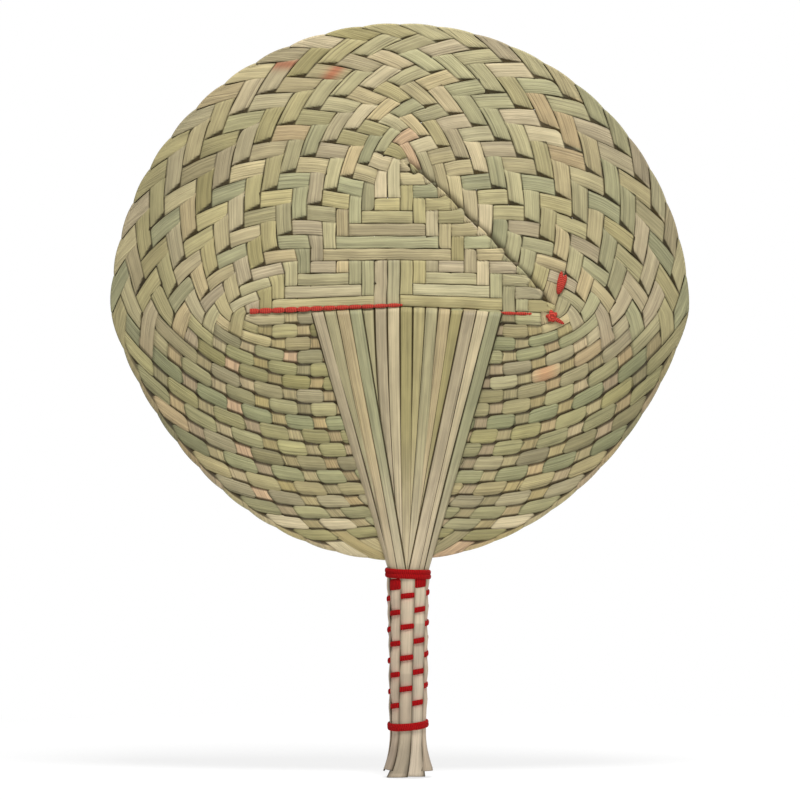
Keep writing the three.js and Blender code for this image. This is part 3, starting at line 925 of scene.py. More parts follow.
@dataclass(frozen=True)
class Routes:
    """The ways that the blade's strips take through the lattice.

    Attributes:
        lattice: the weave's lattice.
        tuck: crossings that a folded end runs on for.
        hem: the same at an upright's foot.
        left_ribs: ribs left of the axis.
        right_ribs: ribs right of it.
        infill_reach: lanes past the side corner that the short infill strips start at.
        infill_top: where they start behind the ribs, in lanes from the start line.
        lobe_end: lanes past the side corner where the lobes' strips end.
        rib_tones: the main colours of the strips that end in ribs, by their place in the palette.
        weft_tones: the same for the wefts, from the start line up.
    """

    lattice: Lattice = field(default_factory=Lattice)
    tuck: float = 2.15
    hem: float = 1.4
    left_ribs: int = 7
    right_ribs: int = 8
    infill_reach: float = 8.0
    infill_top: float = -0.04
    lobe_end: float = 12.3
    rib_tones: tuple[int, ...] = (2, 0, 4, 1, 0, 2, 7, 3, 5, 0, 4, 3, 2, 7, 1)
    weft_tones: tuple[int, ...] = (5, 7, 0, 2, 4, 1, 2, 0, 5, 1, 0, 2)

    def lobe_start(self, lane: float) -> float:
        """Where a left lobe's level lane starts, behind the ribs."""
        return max(-2 * self.lobe_end - lane, -self.infill_reach)

    def lobe_finish(self, lane: float) -> float:
        """Where a right lobe's level lane ends, behind the ribs."""
        return self.lattice.mirrored(self.lobe_start(self.lattice.mirrored(lane)))

    def upright_foot(self, lane: float) -> float:
        """Where a left lobe's upright starts: at the rim, or at the lobe's end if that comes first."""
        return max(lane - self.lattice.rings, -2 * self.lobe_end - lane)

    def left_warp(self, column: int) -> StripPlan:
        """The upright strip at a column left of the axis: rib or foot, panel, wall, fold, lobe or tuck."""
        rings, half = self.lattice.rings, self.lattice.half
        lane = half + 0.5 - column
        foot = column - half - 0.5
        wall = Run(Family.CLOCKWISE, lane, 0.0, lane + rings)
        back_end = self.lobe_finish(lane + rings) if column <= rings - half else lane + self.tuck
        back = [Run(Family.COUNTER, lane + rings, lane, back_end)]
        node = f"warp_left_{column:02d}"
        if column <= self.left_ribs:
            rib = Rib(self.left_ribs - column, -(column - 0.5) * self.lattice.lane)
            return StripPlan(node, Slot.WARP, [[wall], back], rib, True, self.rib_tones[rib.order])
        start = self.upright_foot(foot)
        legs = [[Run(Family.COUNTER, foot, start, 0.0), wall], back]
        if start == foot - rings:
            legs.insert(0, [Run(Family.CLOCKWISE, start, foot - self.hem, foot)])
        return StripPlan(node, Slot.WARP, legs)

    def right_warp(self, column: int) -> StripPlan:
        """The upright strip at a column right of the axis, from its far end to its rib or foot."""
        rings, half, right = self.lattice.rings, self.lattice.half, self.lattice.right
        lane = half - 0.5 + column
        rim_lane = lane - rings
        node = f"warp_right_{column:02d}"
        if column <= rings - half:
            out = [Run(Family.CLOCKWISE, rim_lane, self.lobe_start(rim_lane), lane)]
            legs = [out, [Run(Family.COUNTER, lane, rim_lane, float(right))]]
        else:
            legs = [[Run(Family.COUNTER, lane, rim_lane + self.tuck, float(right))]]
        if column <= self.right_ribs:
            rib = Rib(self.left_ribs + column - 1, (column - 0.5) * self.lattice.lane)
            return StripPlan(node, Slot.WARP, legs, rib, False, self.rib_tones[rib.order])
        foot = self.lattice.mirrored(column - half - 0.5)
        end = self.lattice.mirrored(self.upright_foot(self.lattice.mirrored(foot)))
        legs[-1].append(Run(Family.CLOCKWISE, foot, float(right), end))
        if end == foot + rings:
            legs.append([Run(Family.COUNTER, end, foot, foot + self.hem)])
        return StripPlan(node, Slot.WARP, legs)

    def weft(self, row: int) -> StripPlan:
        """The level strip at a row: left lobe, rim and wall, panel, then right wall, rim and lobe."""
        rings, half, right = self.lattice.rings, self.lattice.half, self.lattice.right
        left_lane = row - 0.5 - rings
        right_lane = right + 0.5 - row
        out = [Run(Family.CLOCKWISE, left_lane, self.lobe_start(left_lane), left_lane + rings)]
        over = [
            Run(Family.COUNTER, left_lane + rings, left_lane, float(half)),
            Run(Family.CLOCKWISE, right_lane, float(half), right_lane + rings),
        ]
        back = [Run(Family.COUNTER, right_lane + rings, right_lane, self.lobe_finish(right_lane + rings))]
        return StripPlan(f"weft_{row:02d}", Slot.WEFT, [out, over, back], tone=self.weft_tones[row - 1])

    def infill(self) -> list[StripPlan]:
        """The short uprights beside the ribs, on the left lobe and mirrored on the right one."""
        plans = []
        for side, ribs in (("left", self.left_ribs), ("right", self.right_ribs)):
            lanes = np.arange(ribs - self.lattice.half - 0.5, -self.infill_reach, -1.0)
            for number, lane in enumerate(lanes.tolist(), start=1):
                foot, top = self.upright_foot(lane), self.infill_top
                run = Run(Family.COUNTER, lane, foot, top)
                if side == "right":
                    mirror = self.lattice.mirrored
                    run = Run(Family.CLOCKWISE, mirror(lane), mirror(top), mirror(foot))
                plans.append(StripPlan(f"infill_{side}_{number:02d}", Slot.INFILL, [[run]]))
        return plans

    def plans(self) -> list[StripPlan]:
        """The routes of all the strips."""
        plans = []
        for n in range(1, self.lattice.half + 1):
            plans += [self.left_warp(n), self.right_warp(n), self.weft(n)]
        return plans + self.infill()


@dataclass(frozen=True)
class Pleat:
    """The flat pleat along the panel's edge from the top corner to the right-hand one.

    Attributes:
        height: how far it stands up, in millimetres.
        lap: how far its edge laps over, in rings.
        reach: rings on both sides over which the weave leans into it.
        turn: half of the rings that are turned back inside it.
        shadow: rings past its edge over which its shadow is painted.
        dark: how dark that painted shadow is.
        waver: how far its edge wavers, in rings.
        fade: steps round over which it dies away at both ends.
    """

    height: float = 1.6
    lap: float = 0.62
    reach: float = 1.6
    turn: float = 0.36
    shadow: float = 0.8
    dark: float = 0.85
    waver: float = 0.12
    fade: float = 1.6

    def fold(
        self, lattice: Lattice, p: np.ndarray, ring: np.ndarray
    ) -> tuple[np.ndarray, np.ndarray, np.ndarray]:
        """Folds the weave.

        The panel laps over the wall up to the pleat's edge, the weave turns back under it, and turns again
        into the wall. The shift of the rings climbs to the lap, swings to its opposite inside the pleat and
        dies away again, while the height climbs on the panel's side and drops inside the pleat.

        Args:
            lattice: the weave's lattice.
            p: steps round from the left corner.
            ring: rings out from the panel's edge.

        Returns:
            The shift of the rings, the height in millimetres, and the light left past the pleat's edge by its
            painted shadow.
        """
        top, right = lattice.half, lattice.right
        ends = smooth_step((p - top) / self.fade) * smooth_step((right - p) / self.fade)
        inside = -np.sin(np.clip(ring / self.turn, -1.0, 1.0) * np.pi / 2)
        beyond = np.clip((np.abs(ring) - self.turn) / (self.reach - self.turn), 0.0, 1.0)
        lap = self.lap + self.waver * np.sin(2.1 * p)
        shift = ends * (lap + self.turn) * inside * (1.0 - smooth_step(beyond))
        climb = smooth_step(1.0 + (ring + self.turn) / self.reach)
        drop = smooth_step(0.5 - ring / (2 * self.turn))
        past = (ring + shift - lap) / self.shadow
        shadow = np.where(ring > self.turn, self.dark * ends * smooth_step(1.0 - past), 0.0)
        return shift, self.height * ends * climb * drop, 1.0 - shadow


@dataclass
class Blade:
    """The plaited blade and its ribs.

    Attributes:
        routes: the strips' ways through the lattice.
        pleat: the pleat in the weave.
        section: the strips' section.
        tones: the strips' colours.
        half_width: half of a strip's width where it lies in front, in lanes.
        under_width: the same where it lies behind, where strips lap over each other.
        height: how far a strip lies from the middle plane at a crossing, in millimetres.
        crown: how much of that height a strip's edges lose.
        turn: half of the length over which a strip changes sides, in lanes.
        per_cell: stations in one crossing.
        tilt: how far a strip's edges tip at random, in millimetres.
        wander: how far a strip strays from its lane at random, in lanes.
        lobe_swell: how much wider the lobes' level floats are in their middle.
        lobe_tip: how wide they are where they dive under, as a share of their width.
        lobe_round: how fast they widen from there, as a factor.
        lobe_bulge: how far the middle of such a float stands out, in millimetres.
        lobe_gap_shade: how dark the shade painted into the lobes' gaps is.
        level_gap_shade: the level strips' share of that.
        gap_start: how near a dive the gaps' painted shade starts, from 0 to 1.
        gap_span: how much nearer they are darkest.
        lobe_edge_shade: how much painted shade darkens the level floats' very edges in the lobes.
        lobe_reach: how far such a float reaches past its crossings, in lanes.
        lobe_tints: what the level and the upright strips' colours are multiplied by in the lobes.
        side_shade: how much darker painted shade makes the strips by the rim's left and right than on the
            axis.
        rib_dark: what the ribs' colours are multiplied by at the start line.
        rib_neck: the display colour that they turn to at the neck.
        left_scallop: how far a fold stands out at the left rim, in rings.
        right_scallop: the same at the right rim.
        slit: how far the walls' uprights hang back where they come out from under a strip, in lanes.
        tent: how far the start line rises towards the axis, in millimetres.
        tent_reach: height over which that dies away.
        neck_lean: steps round at which the lobes' ends lean back behind the ribs.
        neck_backs: how far the left and the right lobe's end lean back there, in millimetres.
        creases: places across of a strip's fold line, to draw from.
        rib_edge: how far a rib's edges turn down, in millimetres.
        rib_crown: how far its middle stands out besides.
        rib_height: the lowest layer's height at the start line.
        rib_climb: the way down in which a rib climbs into its layer.
        rib_tuck: how far it runs on below the neck, inside the top binding.
        rib_narrow: how much narrower it is at the neck, as a share.
        neck_radius: the lowest layer's distance from the handle's axis.
        neck_pale: the neck colour's share there.
        rib_necks: where the ribs reach the handle, from its axis to the right, in millimetres.
        rib_layers: how far in front the ribs lie, in millimetres.
        neck_y: the neck's height.
        handle_x: the handle's axis.
    """

    routes: Routes = field(default_factory=Routes)
    pleat: Pleat = field(default_factory=Pleat)
    section: LeafStrip = field(default_factory=LeafStrip)
    tones: LeafTones = field(default_factory=LeafTones)
    half_width: float = 0.474
    under_width: float = 0.53
    height: float = 0.5
    crown: float = 0.55
    turn: float = 0.3
    per_cell: int = 12
    tilt: float = 0.2
    wander: float = 0.02
    lobe_swell: float = 0.1
    lobe_tip: float = 0.52
    lobe_round: float = 1.8
    lobe_bulge: float = 0.35
    lobe_gap_shade: float = 0.97
    level_gap_shade: float = 0.6
    gap_start: float = 0.52
    gap_span: float = 0.3
    lobe_edge_shade: float = 0.3
    lobe_reach: float = 0.14
    lobe_tints: tuple[tuple[float, float, float], ...] = ((0.765, 0.795, 0.725), (0.86, 0.805, 0.765))
    side_shade: float = 0.2
    rib_dark: float = 0.86
    rib_neck: tuple[float, float, float] = (190, 174, 146)
    left_scallop: float = 0.2
    right_scallop: float = 0.1
    slit: float = 0.3
    tent: float = 3.6
    tent_reach: float = 34.0
    neck_lean: float = -11.0
    neck_backs: tuple[float, float] = (0.5, 1.4)
    creases: tuple[float, ...] = (0.22, 0.8, NO_CREASE, NO_CREASE)
    rib_edge: float = 0.8
    rib_crown: float = 0.3
    rib_height: float = 0.9
    rib_climb: float = 2.5
    rib_tuck: float = 3.0
    rib_narrow: float = 0.28
    neck_radius: float = 7.6
    neck_pale: float = 0.7
    rib_necks: tuple[float, ...] = (
        -7.8, -7.7, -6.2, -2.7, -5.8, -5.2, -4.2, -1.2, 0.4, 1.4, 3.0, 2.6, 1.9, 6.0, 8.0
    )
    rib_layers: tuple[float, ...] = (
        1.0, 1.5, 2.2, 2.0, 0.4, 0.5, 0.9, 1.0, 0.7, 1.3, 1.0, 1.1, 2.5, 1.8, 2.3
    )
    neck_y: float = NECK_Y
    handle_x: float = HANDLE_X

    @property
    def lattice(self) -> Lattice:
        """The weave's lattice."""
        return self.routes.lattice

    def levels(
        self, reach: np.ndarray, signs: np.ndarray, first: int, overhang: np.ndarray
    ) -> tuple[np.ndarray, np.ndarray, np.ndarray]:
        """Works out how a strip rises and dives: it changes sides about the slit between two crossings.

        Args:
            reach: places along the strip, in crossings.
            signs: 1 where the strip is in front and -1 where it is behind, by crossing.
            first: the first crossing's number.
            overhang: how far a float in front reaches past that slit.

        Returns:
            The level from 1 in front to -1 behind, how near a dive is, and how near the middle of a float is.
        """
        slit = np.round(reach)
        index = slit.astype(int) - first
        before = signs[np.clip(index - 1, 0, len(signs) - 1)]
        after = signs[np.clip(index, 0, len(signs) - 1)]
        past = reach - slit - overhang * (before - after) / 2
        swing = smooth_step(past / (2 * self.turn) + 0.5)
        dives = before != after
        away = smooth_step(np.abs(past) * 2)
        middle = np.where(dives, 0.5 * away, 1.0 - 0.5 * away)
        return blend(before, after, swing), np.where(dives, bell(past, 0.3), 0.0), middle

    def sagged(self, flat: np.ndarray) -> np.ndarray:
        """Raises the weave near the start line into a low tent over the axis, and returns the points."""
        wide = self.lattice.half * self.lattice.lane
        across = np.clip(1.0 - np.abs(flat[..., 0]) / wide, 0.0, 1.0)
        near = np.clip(1.0 - np.abs(flat[..., 1]) / self.tent_reach, 0.0, 1.0)
        return flat + np.stack((0 * across, self.tent * across * near), -1)

    def stations(self, runs: list[Run]) -> list[np.ndarray]:
        """Spaces stations evenly along the runs of a leg.

        Args:
            runs: the leg's runs, in order.

        Returns:
            By station: the place along its own run, the place along the leg, the lane, and whether the lane
            is clockwise.
        """
        parts = []
        reached = runs[0].start
        for run in runs:
            count = max(2, int(np.ceil((run.end - run.start) * self.per_cell)))
            s = np.linspace(run.start, run.end, count + 1)[1 if parts else 0:]
            clockwise = np.full(s.shape, run.family is Family.CLOCKWISE)
            parts.append((s, s - run.start + reached, np.full_like(s, run.lane), clockwise))
            reached += run.end - run.start
        return [np.concatenate(column) for column in zip(*parts)]

    def sides(
        self, s: np.ndarray, c: np.ndarray, lane: np.ndarray, cw: np.ndarray
    ) -> tuple[int, np.ndarray, np.ndarray]:
        """Works out on which side of the weave a leg lies at each crossing.

        Args:
            s: places along its own run, by station.
            c: places along the leg, by station.
            lane: lanes, by station.
            cw: whether the lane is clockwise, by station.

        Returns:
            The first crossing's number, 1 in front or -1 behind by crossing, and 1 where nothing crosses it.
        """
        rings, right = self.lattice.rings, self.lattice.right
        first = int(np.floor(c[0] + 1e-6))
        cells = np.arange(first, int(np.ceil(c[-1] - 1e-6)))
        at = np.clip(np.searchsorted(c, cells + 0.5), 0, len(c) - 1)
        crossing = cells + 0.5 - (c - s)[at]
        a = np.where(cw[at], lane[at], crossing)
        b = np.where(cw[at], crossing, lane[at])
        past_left, past_right = a < -rings, b > right + rings
        in_front = self.lattice.clockwise_in_front(a, b) == cw[at]
        in_front = np.where(past_left, ~cw[at], np.where(past_right, cw[at], in_front))
        return first, np.where(in_front, 1.0, -1.0), np.where(past_left | past_right, 1.0, 0.0)

    def half_widths(
        self, over: np.ndarray, middle: np.ndarray, lobe: np.ndarray, upright: np.ndarray
    ) -> np.ndarray:
        """Works out half of a strip's width, in lanes.

        A strip is wider behind than in front. In the lobes a level float narrows to its tips, and an upright
        is as wide in front as behind.

        Args:
            over: 1 in front to 0 behind, by station.
            middle: 0 at a float's tips to 1 in its middle, by station.
            lobe: 1 where the strip lies level in a lobe, by station.
            upright: 1 where it stands upright in one, by station.

        Returns:
            The half-widths by station.
        """
        width = blend(self.under_width, self.half_width, over)
        rounded = np.sin(np.pi / 2 * np.clip(self.lobe_round * middle, 0.0, 1.0))
        lens = self.lobe_tip + (1.0 + self.lobe_swell - self.lobe_tip) * rounded
        deep = np.clip(2 * lobe - 1, 0.0, 1.0) ** 2
        width = width * (1 + deep * np.clip(2 * over, 0.0, 1.0) * (lens - 1))
        return np.maximum(width, self.under_width * np.clip(2 * upright, 0.0, 1.0))

    def trace_leg(
        self, runs: list[Run], face: int, folds: tuple[bool, bool], rng: np.random.Generator
    ) -> Trace:
        """Works out the middle surface of one leg of a strip.

        The level swings from 1 to -1 about the slit between two crossings where the strip changes sides. The
        height is the level times the crossing's height, less towards the edges. By a fold, the stations turn
        to lie along the rim.

        Args:
            runs: the leg's runs, in order.
            face: 1, or -1 where the strip has been turned over.
            folds: whether the strip folds at the rim before and after the leg.
            rng: the strip's own random numbers.

        Returns:
            The leg's surface.
        """
        half, right, rings = self.lattice.half, self.lattice.right, self.lattice.rings
        s, c, lane, cw = self.stations(runs)
        first, signs, lone = self.sides(s, c, lane, cw)
        a_mid, b_mid = np.where(cw, lane, s), np.where(cw, s, lane)
        p_mid, ring_mid = (a_mid + b_mid) / 2, b_mid - a_mid
        along = np.where(cw, 1.0, -1.0)

        left_lobe, right_lobe = smooth_step(-p_mid / 2), smooth_step((p_mid - right) / 2)
        lobe = np.where(cw, left_lobe, right_lobe)
        upright = np.where(cw, right_lobe, left_lobe)
        overhang = self.lobe_reach * lobe
        pleated = c + along * self.pleat.fold(self.lattice, p_mid, ring_mid)[0]
        level, dive, middle = self.levels(pleated, signs, first, overhang)
        knots = np.arange(first - 1, first + len(signs) + 2)
        tilt = np.interp(c, knots, rng.normal(0.0, self.tilt, len(knots)))
        wander = np.interp(c, knots, rng.normal(0.0, self.wander, len(knots)))
        over = 0.5 + 0.5 * level
        half_width = self.half_widths(over, middle, lobe, upright)

        to_start = np.clip(1.0 - (c - c[0]), 0.0, 1.0) if folds[0] else np.zeros_like(c)
        to_end = np.clip(1.0 - (c[-1] - c), 0.0, 1.0) if folds[1] else np.zeros_like(c)
        loose = (1 - to_start) * (1 - to_end)
        seam = np.clip(2.0 - np.abs(ring_mid), 0.0, 1.0) * smooth_step(p_mid - half + 1)
        seam = seam * smooth_step(right + 1 - p_mid)
        q = self.section.q[None, :]
        offset = face * half_width[:, None] * q + (wander * loose)[:, None]
        rightwards = smooth_step((p_mid - half + 4.0) / 8.0)
        scallop = self.left_scallop + (self.right_scallop - self.left_scallop) * rightwards
        bulge = scallop[:, None] * (1 - q**2) / 2
        side = lane[:, None] - along[:, None] * offset
        skew = -(seam * along)[:, None] * offset
        forward = s[:, None] + skew
        in_fold, out_fold = to_start[:, None], to_end[:, None]
        forward = forward + out_fold * (side + rings + bulge - s[-1])
        forward = forward + in_fold * (side - rings - bulge - s[0])
        side = side + bulge * (in_fold - out_fold)
        a = np.where(cw[:, None], side, forward)
        b = np.where(cw[:, None], forward, side)
        shift, lift, front_shade = self.pleat.fold(self.lattice, (a + b) / 2, b - a)
        a = np.where(cw[:, None], a, a - shift)
        b = np.where(cw[:, None], b + shift, b)
        flat = self.sagged(self.lattice.place(a, b))

        lean = smooth_step((half + 3 - p_mid) * along / 6 + np.where(cw, 0.0, 1.0))
        wall = smooth_step(ring_mid / 2) * smooth_step(p_mid / 2 + 0.5)
        wall = wall * smooth_step((right - p_mid) / 2 + 0.5)
        delay = (self.slit * lean * wall * loose)[:, None] * (0.55 - 0.45 * face * q)
        reach = c[:, None] + skew + along[:, None] * (shift - delay)
        level = self.levels(reach, signs, first, overhang[:, None])[0]
        edges = 1.0 - self.crown * loose[:, None] * q**2
        z = self.height * level * edges + (tilt * loose)[:, None] * q
        z = z + (self.lobe_bulge * lobe * over * middle)[:, None] * (1 - q**2)
        p = (a + b) / 2
        left_back, right_back = self.neck_backs
        below = smooth_step(self.neck_lean - p) * left_back
        below = below + smooth_step(p - self.lattice.mirrored(self.neck_lean)) * right_back
        points = np.concatenate((flat, (z + lift - below)[..., None]), -1)
        # Painted shade: the lobes' gaps darken near a dive, and the level floats' edges darken as if round
        near_slit = smooth_step((dive - self.gap_start) / self.gap_span)
        gap = 1.0 - self.lobe_gap_shade * np.maximum(upright, self.level_gap_shade * lobe) * near_slit
        bare = lone[np.clip(np.floor(c).astype(int) - first, 0, len(lone) - 1)]
        round_shade = 1.0 - self.lobe_edge_shade * lobe[:, None] * q**4
        return Trace(points, level, front_shade * gap[:, None] * round_shade, bare, np.zeros_like(c), lobe - upright)

    def fold(self, last: np.ndarray, first: np.ndarray) -> Trace:
        """Rolls a strip over at the rim: half a turn from the end of one leg to the start of the next.

        Args:
            last: the last station's points of the leg before.
            first: the first station's points of the leg after.

        Returns:
            The fold's surface.
        """
        angle = np.radians(np.linspace(-65.0, 65.0, 7))
        middle = (last + first) / 2
        rise = (first - last)[None, :, 2:] / 2
        outwards = unit(np.concatenate((middle[:, :2], np.zeros((len(middle), 1))), -1))
        points = middle + outwards * (self.height * np.cos(angle)[:, None, None])
        points[..., 2:] += rise * np.sin(angle)[:, None, None]
        turned = np.repeat((np.sin(angle) * np.sign(rise.mean()))[:, None], points.shape[1], 1)
        zeros = np.zeros(len(angle))
        return Trace(points, turned, np.ones_like(turned), zeros, zeros, zeros)

    def trace_rib(self, rib: Rib, face: int, first: bool, start_level: float) -> Trace:
        """Works out a rib's surface from the start line down to the neck.

        The middle runs straight from its place on the start line to its place round the handle's front. It
        climbs into its layer just below the start line, and its section turns to face out from the handle.

        Args:
            rib: the rib.
            face: 1, or -1 where the strip has been turned over.
            first: whether the strip runs up the rib, as its first part.
            start_level: the strip's level at the start line.

        Returns:
            The rib's surface.
        """
        neck, layer = self.rib_necks[rib.order], self.rib_layers[rib.order]
        neck_radius = self.neck_radius + 0.5 * layer
        neck_angle = np.arcsin(neck / neck_radius)
        v = np.linspace(0.0, 1.0, 81)[1:] ** 1.25
        v = v[::-1] if first else v
        y = (self.neck_y - self.rib_tuck) * v
        bend = v**1.5
        x = rib.top_x + (self.handle_x + neck - rib.top_x) * (v if layer >= 1.0 else bend)
        top_z = self.rib_height + layer
        z = top_z + (neck_radius * np.cos(neck_angle) - top_z) * bend
        z = start_level * self.height + (z - start_level * self.height) * smooth_step(-y / self.rib_climb)
        width = self.lattice.lane * (1.0 + 0.06 * layer - self.rib_narrow * v)
        angle = neck_angle * bend
        q = self.section.q[None, :]
        side = face * (-1.0 if first else 1.0)
        sideways = side * q * (width / 2)[:, None]
        crown = -self.rib_crown * q**2 - self.rib_edge * smooth_step((np.abs(q) - 0.82) / 0.18)
        points = np.stack(
            (
                x[:, None] + sideways * np.cos(angle)[:, None] + crown * np.sin(angle)[:, None],
                np.repeat(y[:, None], q.shape[1], 1),
                z[:, None] - sideways * np.sin(angle)[:, None] + crown * np.cos(angle)[:, None],
            ),
            -1,
        )
        points[..., :2] = self.sagged(points[..., :2])
        return Trace.open(points, 1.0)

    def trace(self, plan: StripPlan, rng: np.random.Generator) -> Trace:
        """Joins the legs, folds and rib of a strip into one surface.

        Args:
            plan: the strip's route.
            rng: the strip's own random numbers.

        Returns:
            The whole strip's surface.
        """
        face = 1
        parts: list[Trace] = []
        legs = plan.legs
        for number, runs in enumerate(legs):
            leg = self.trace_leg(runs, face, (number > 0, number + 1 < len(legs)), rng)
            if number:
                parts.append(self.fold(parts[-1].points[-1], leg.points[0]))
            elif plan.rib and plan.rib_first:
                parts.append(self.trace_rib(plan.rib, face, True, leg.level[0].mean()))
            parts.append(leg)
            face = -face
        if plan.rib and not plan.rib_first:
            parts.append(self.trace_rib(plan.rib, -face, False, parts[-1].level[-1].mean()))
        return Trace.joined(parts)

    def build(self, wardrobe: Wardrobe) -> None:
        """Makes and dresses every strip of the blade."""
        for number, plan in enumerate(self.routes.plans()):
            rng = np.random.default_rng(SEED + number)
            trace = self.trace(plan, rng)
            tone = self.tones.along(rng, trace.floats(), plan.tone)
            middle = trace.spine
            # Painted shade: the strips darken towards the rim's left and right
            outwards = smooth_step(np.abs(middle[:, :1]) / self.lattice.rim_radius * 2.0 - 0.8)
            tone = tone * (1.0 - self.side_shade * outwards)
            for side, tint in zip((1.0, -1.0), self.lobe_tints):
                tone = tone * (1.0 + np.clip(side * trace.lobe, 0.0, 1.0)[:, None] * (np.array(tint) - 1.0))
            tone = self.tones.marked(tone, trace)
            if plan.rib:
                bare = linear(*self.tones.palette[plan.tone]) * self.rib_dark
                low = self.neck_pale * smooth_step(middle[:, 1:2] / self.neck_y * 1.6 - 0.6)
                bare = blend(bare, linear(*self.rib_neck), low)
                tone = np.where(trace.rib[:, None] > 0, bare, tone)
            crease = rng.choice(self.creases)
            loft = self.section.loft(trace, tone, rng.uniform(), crease)
            wardrobe.dress(make_piece("woven_" + plan.node, [loft]), plan.slot, plan.node)


# The handle


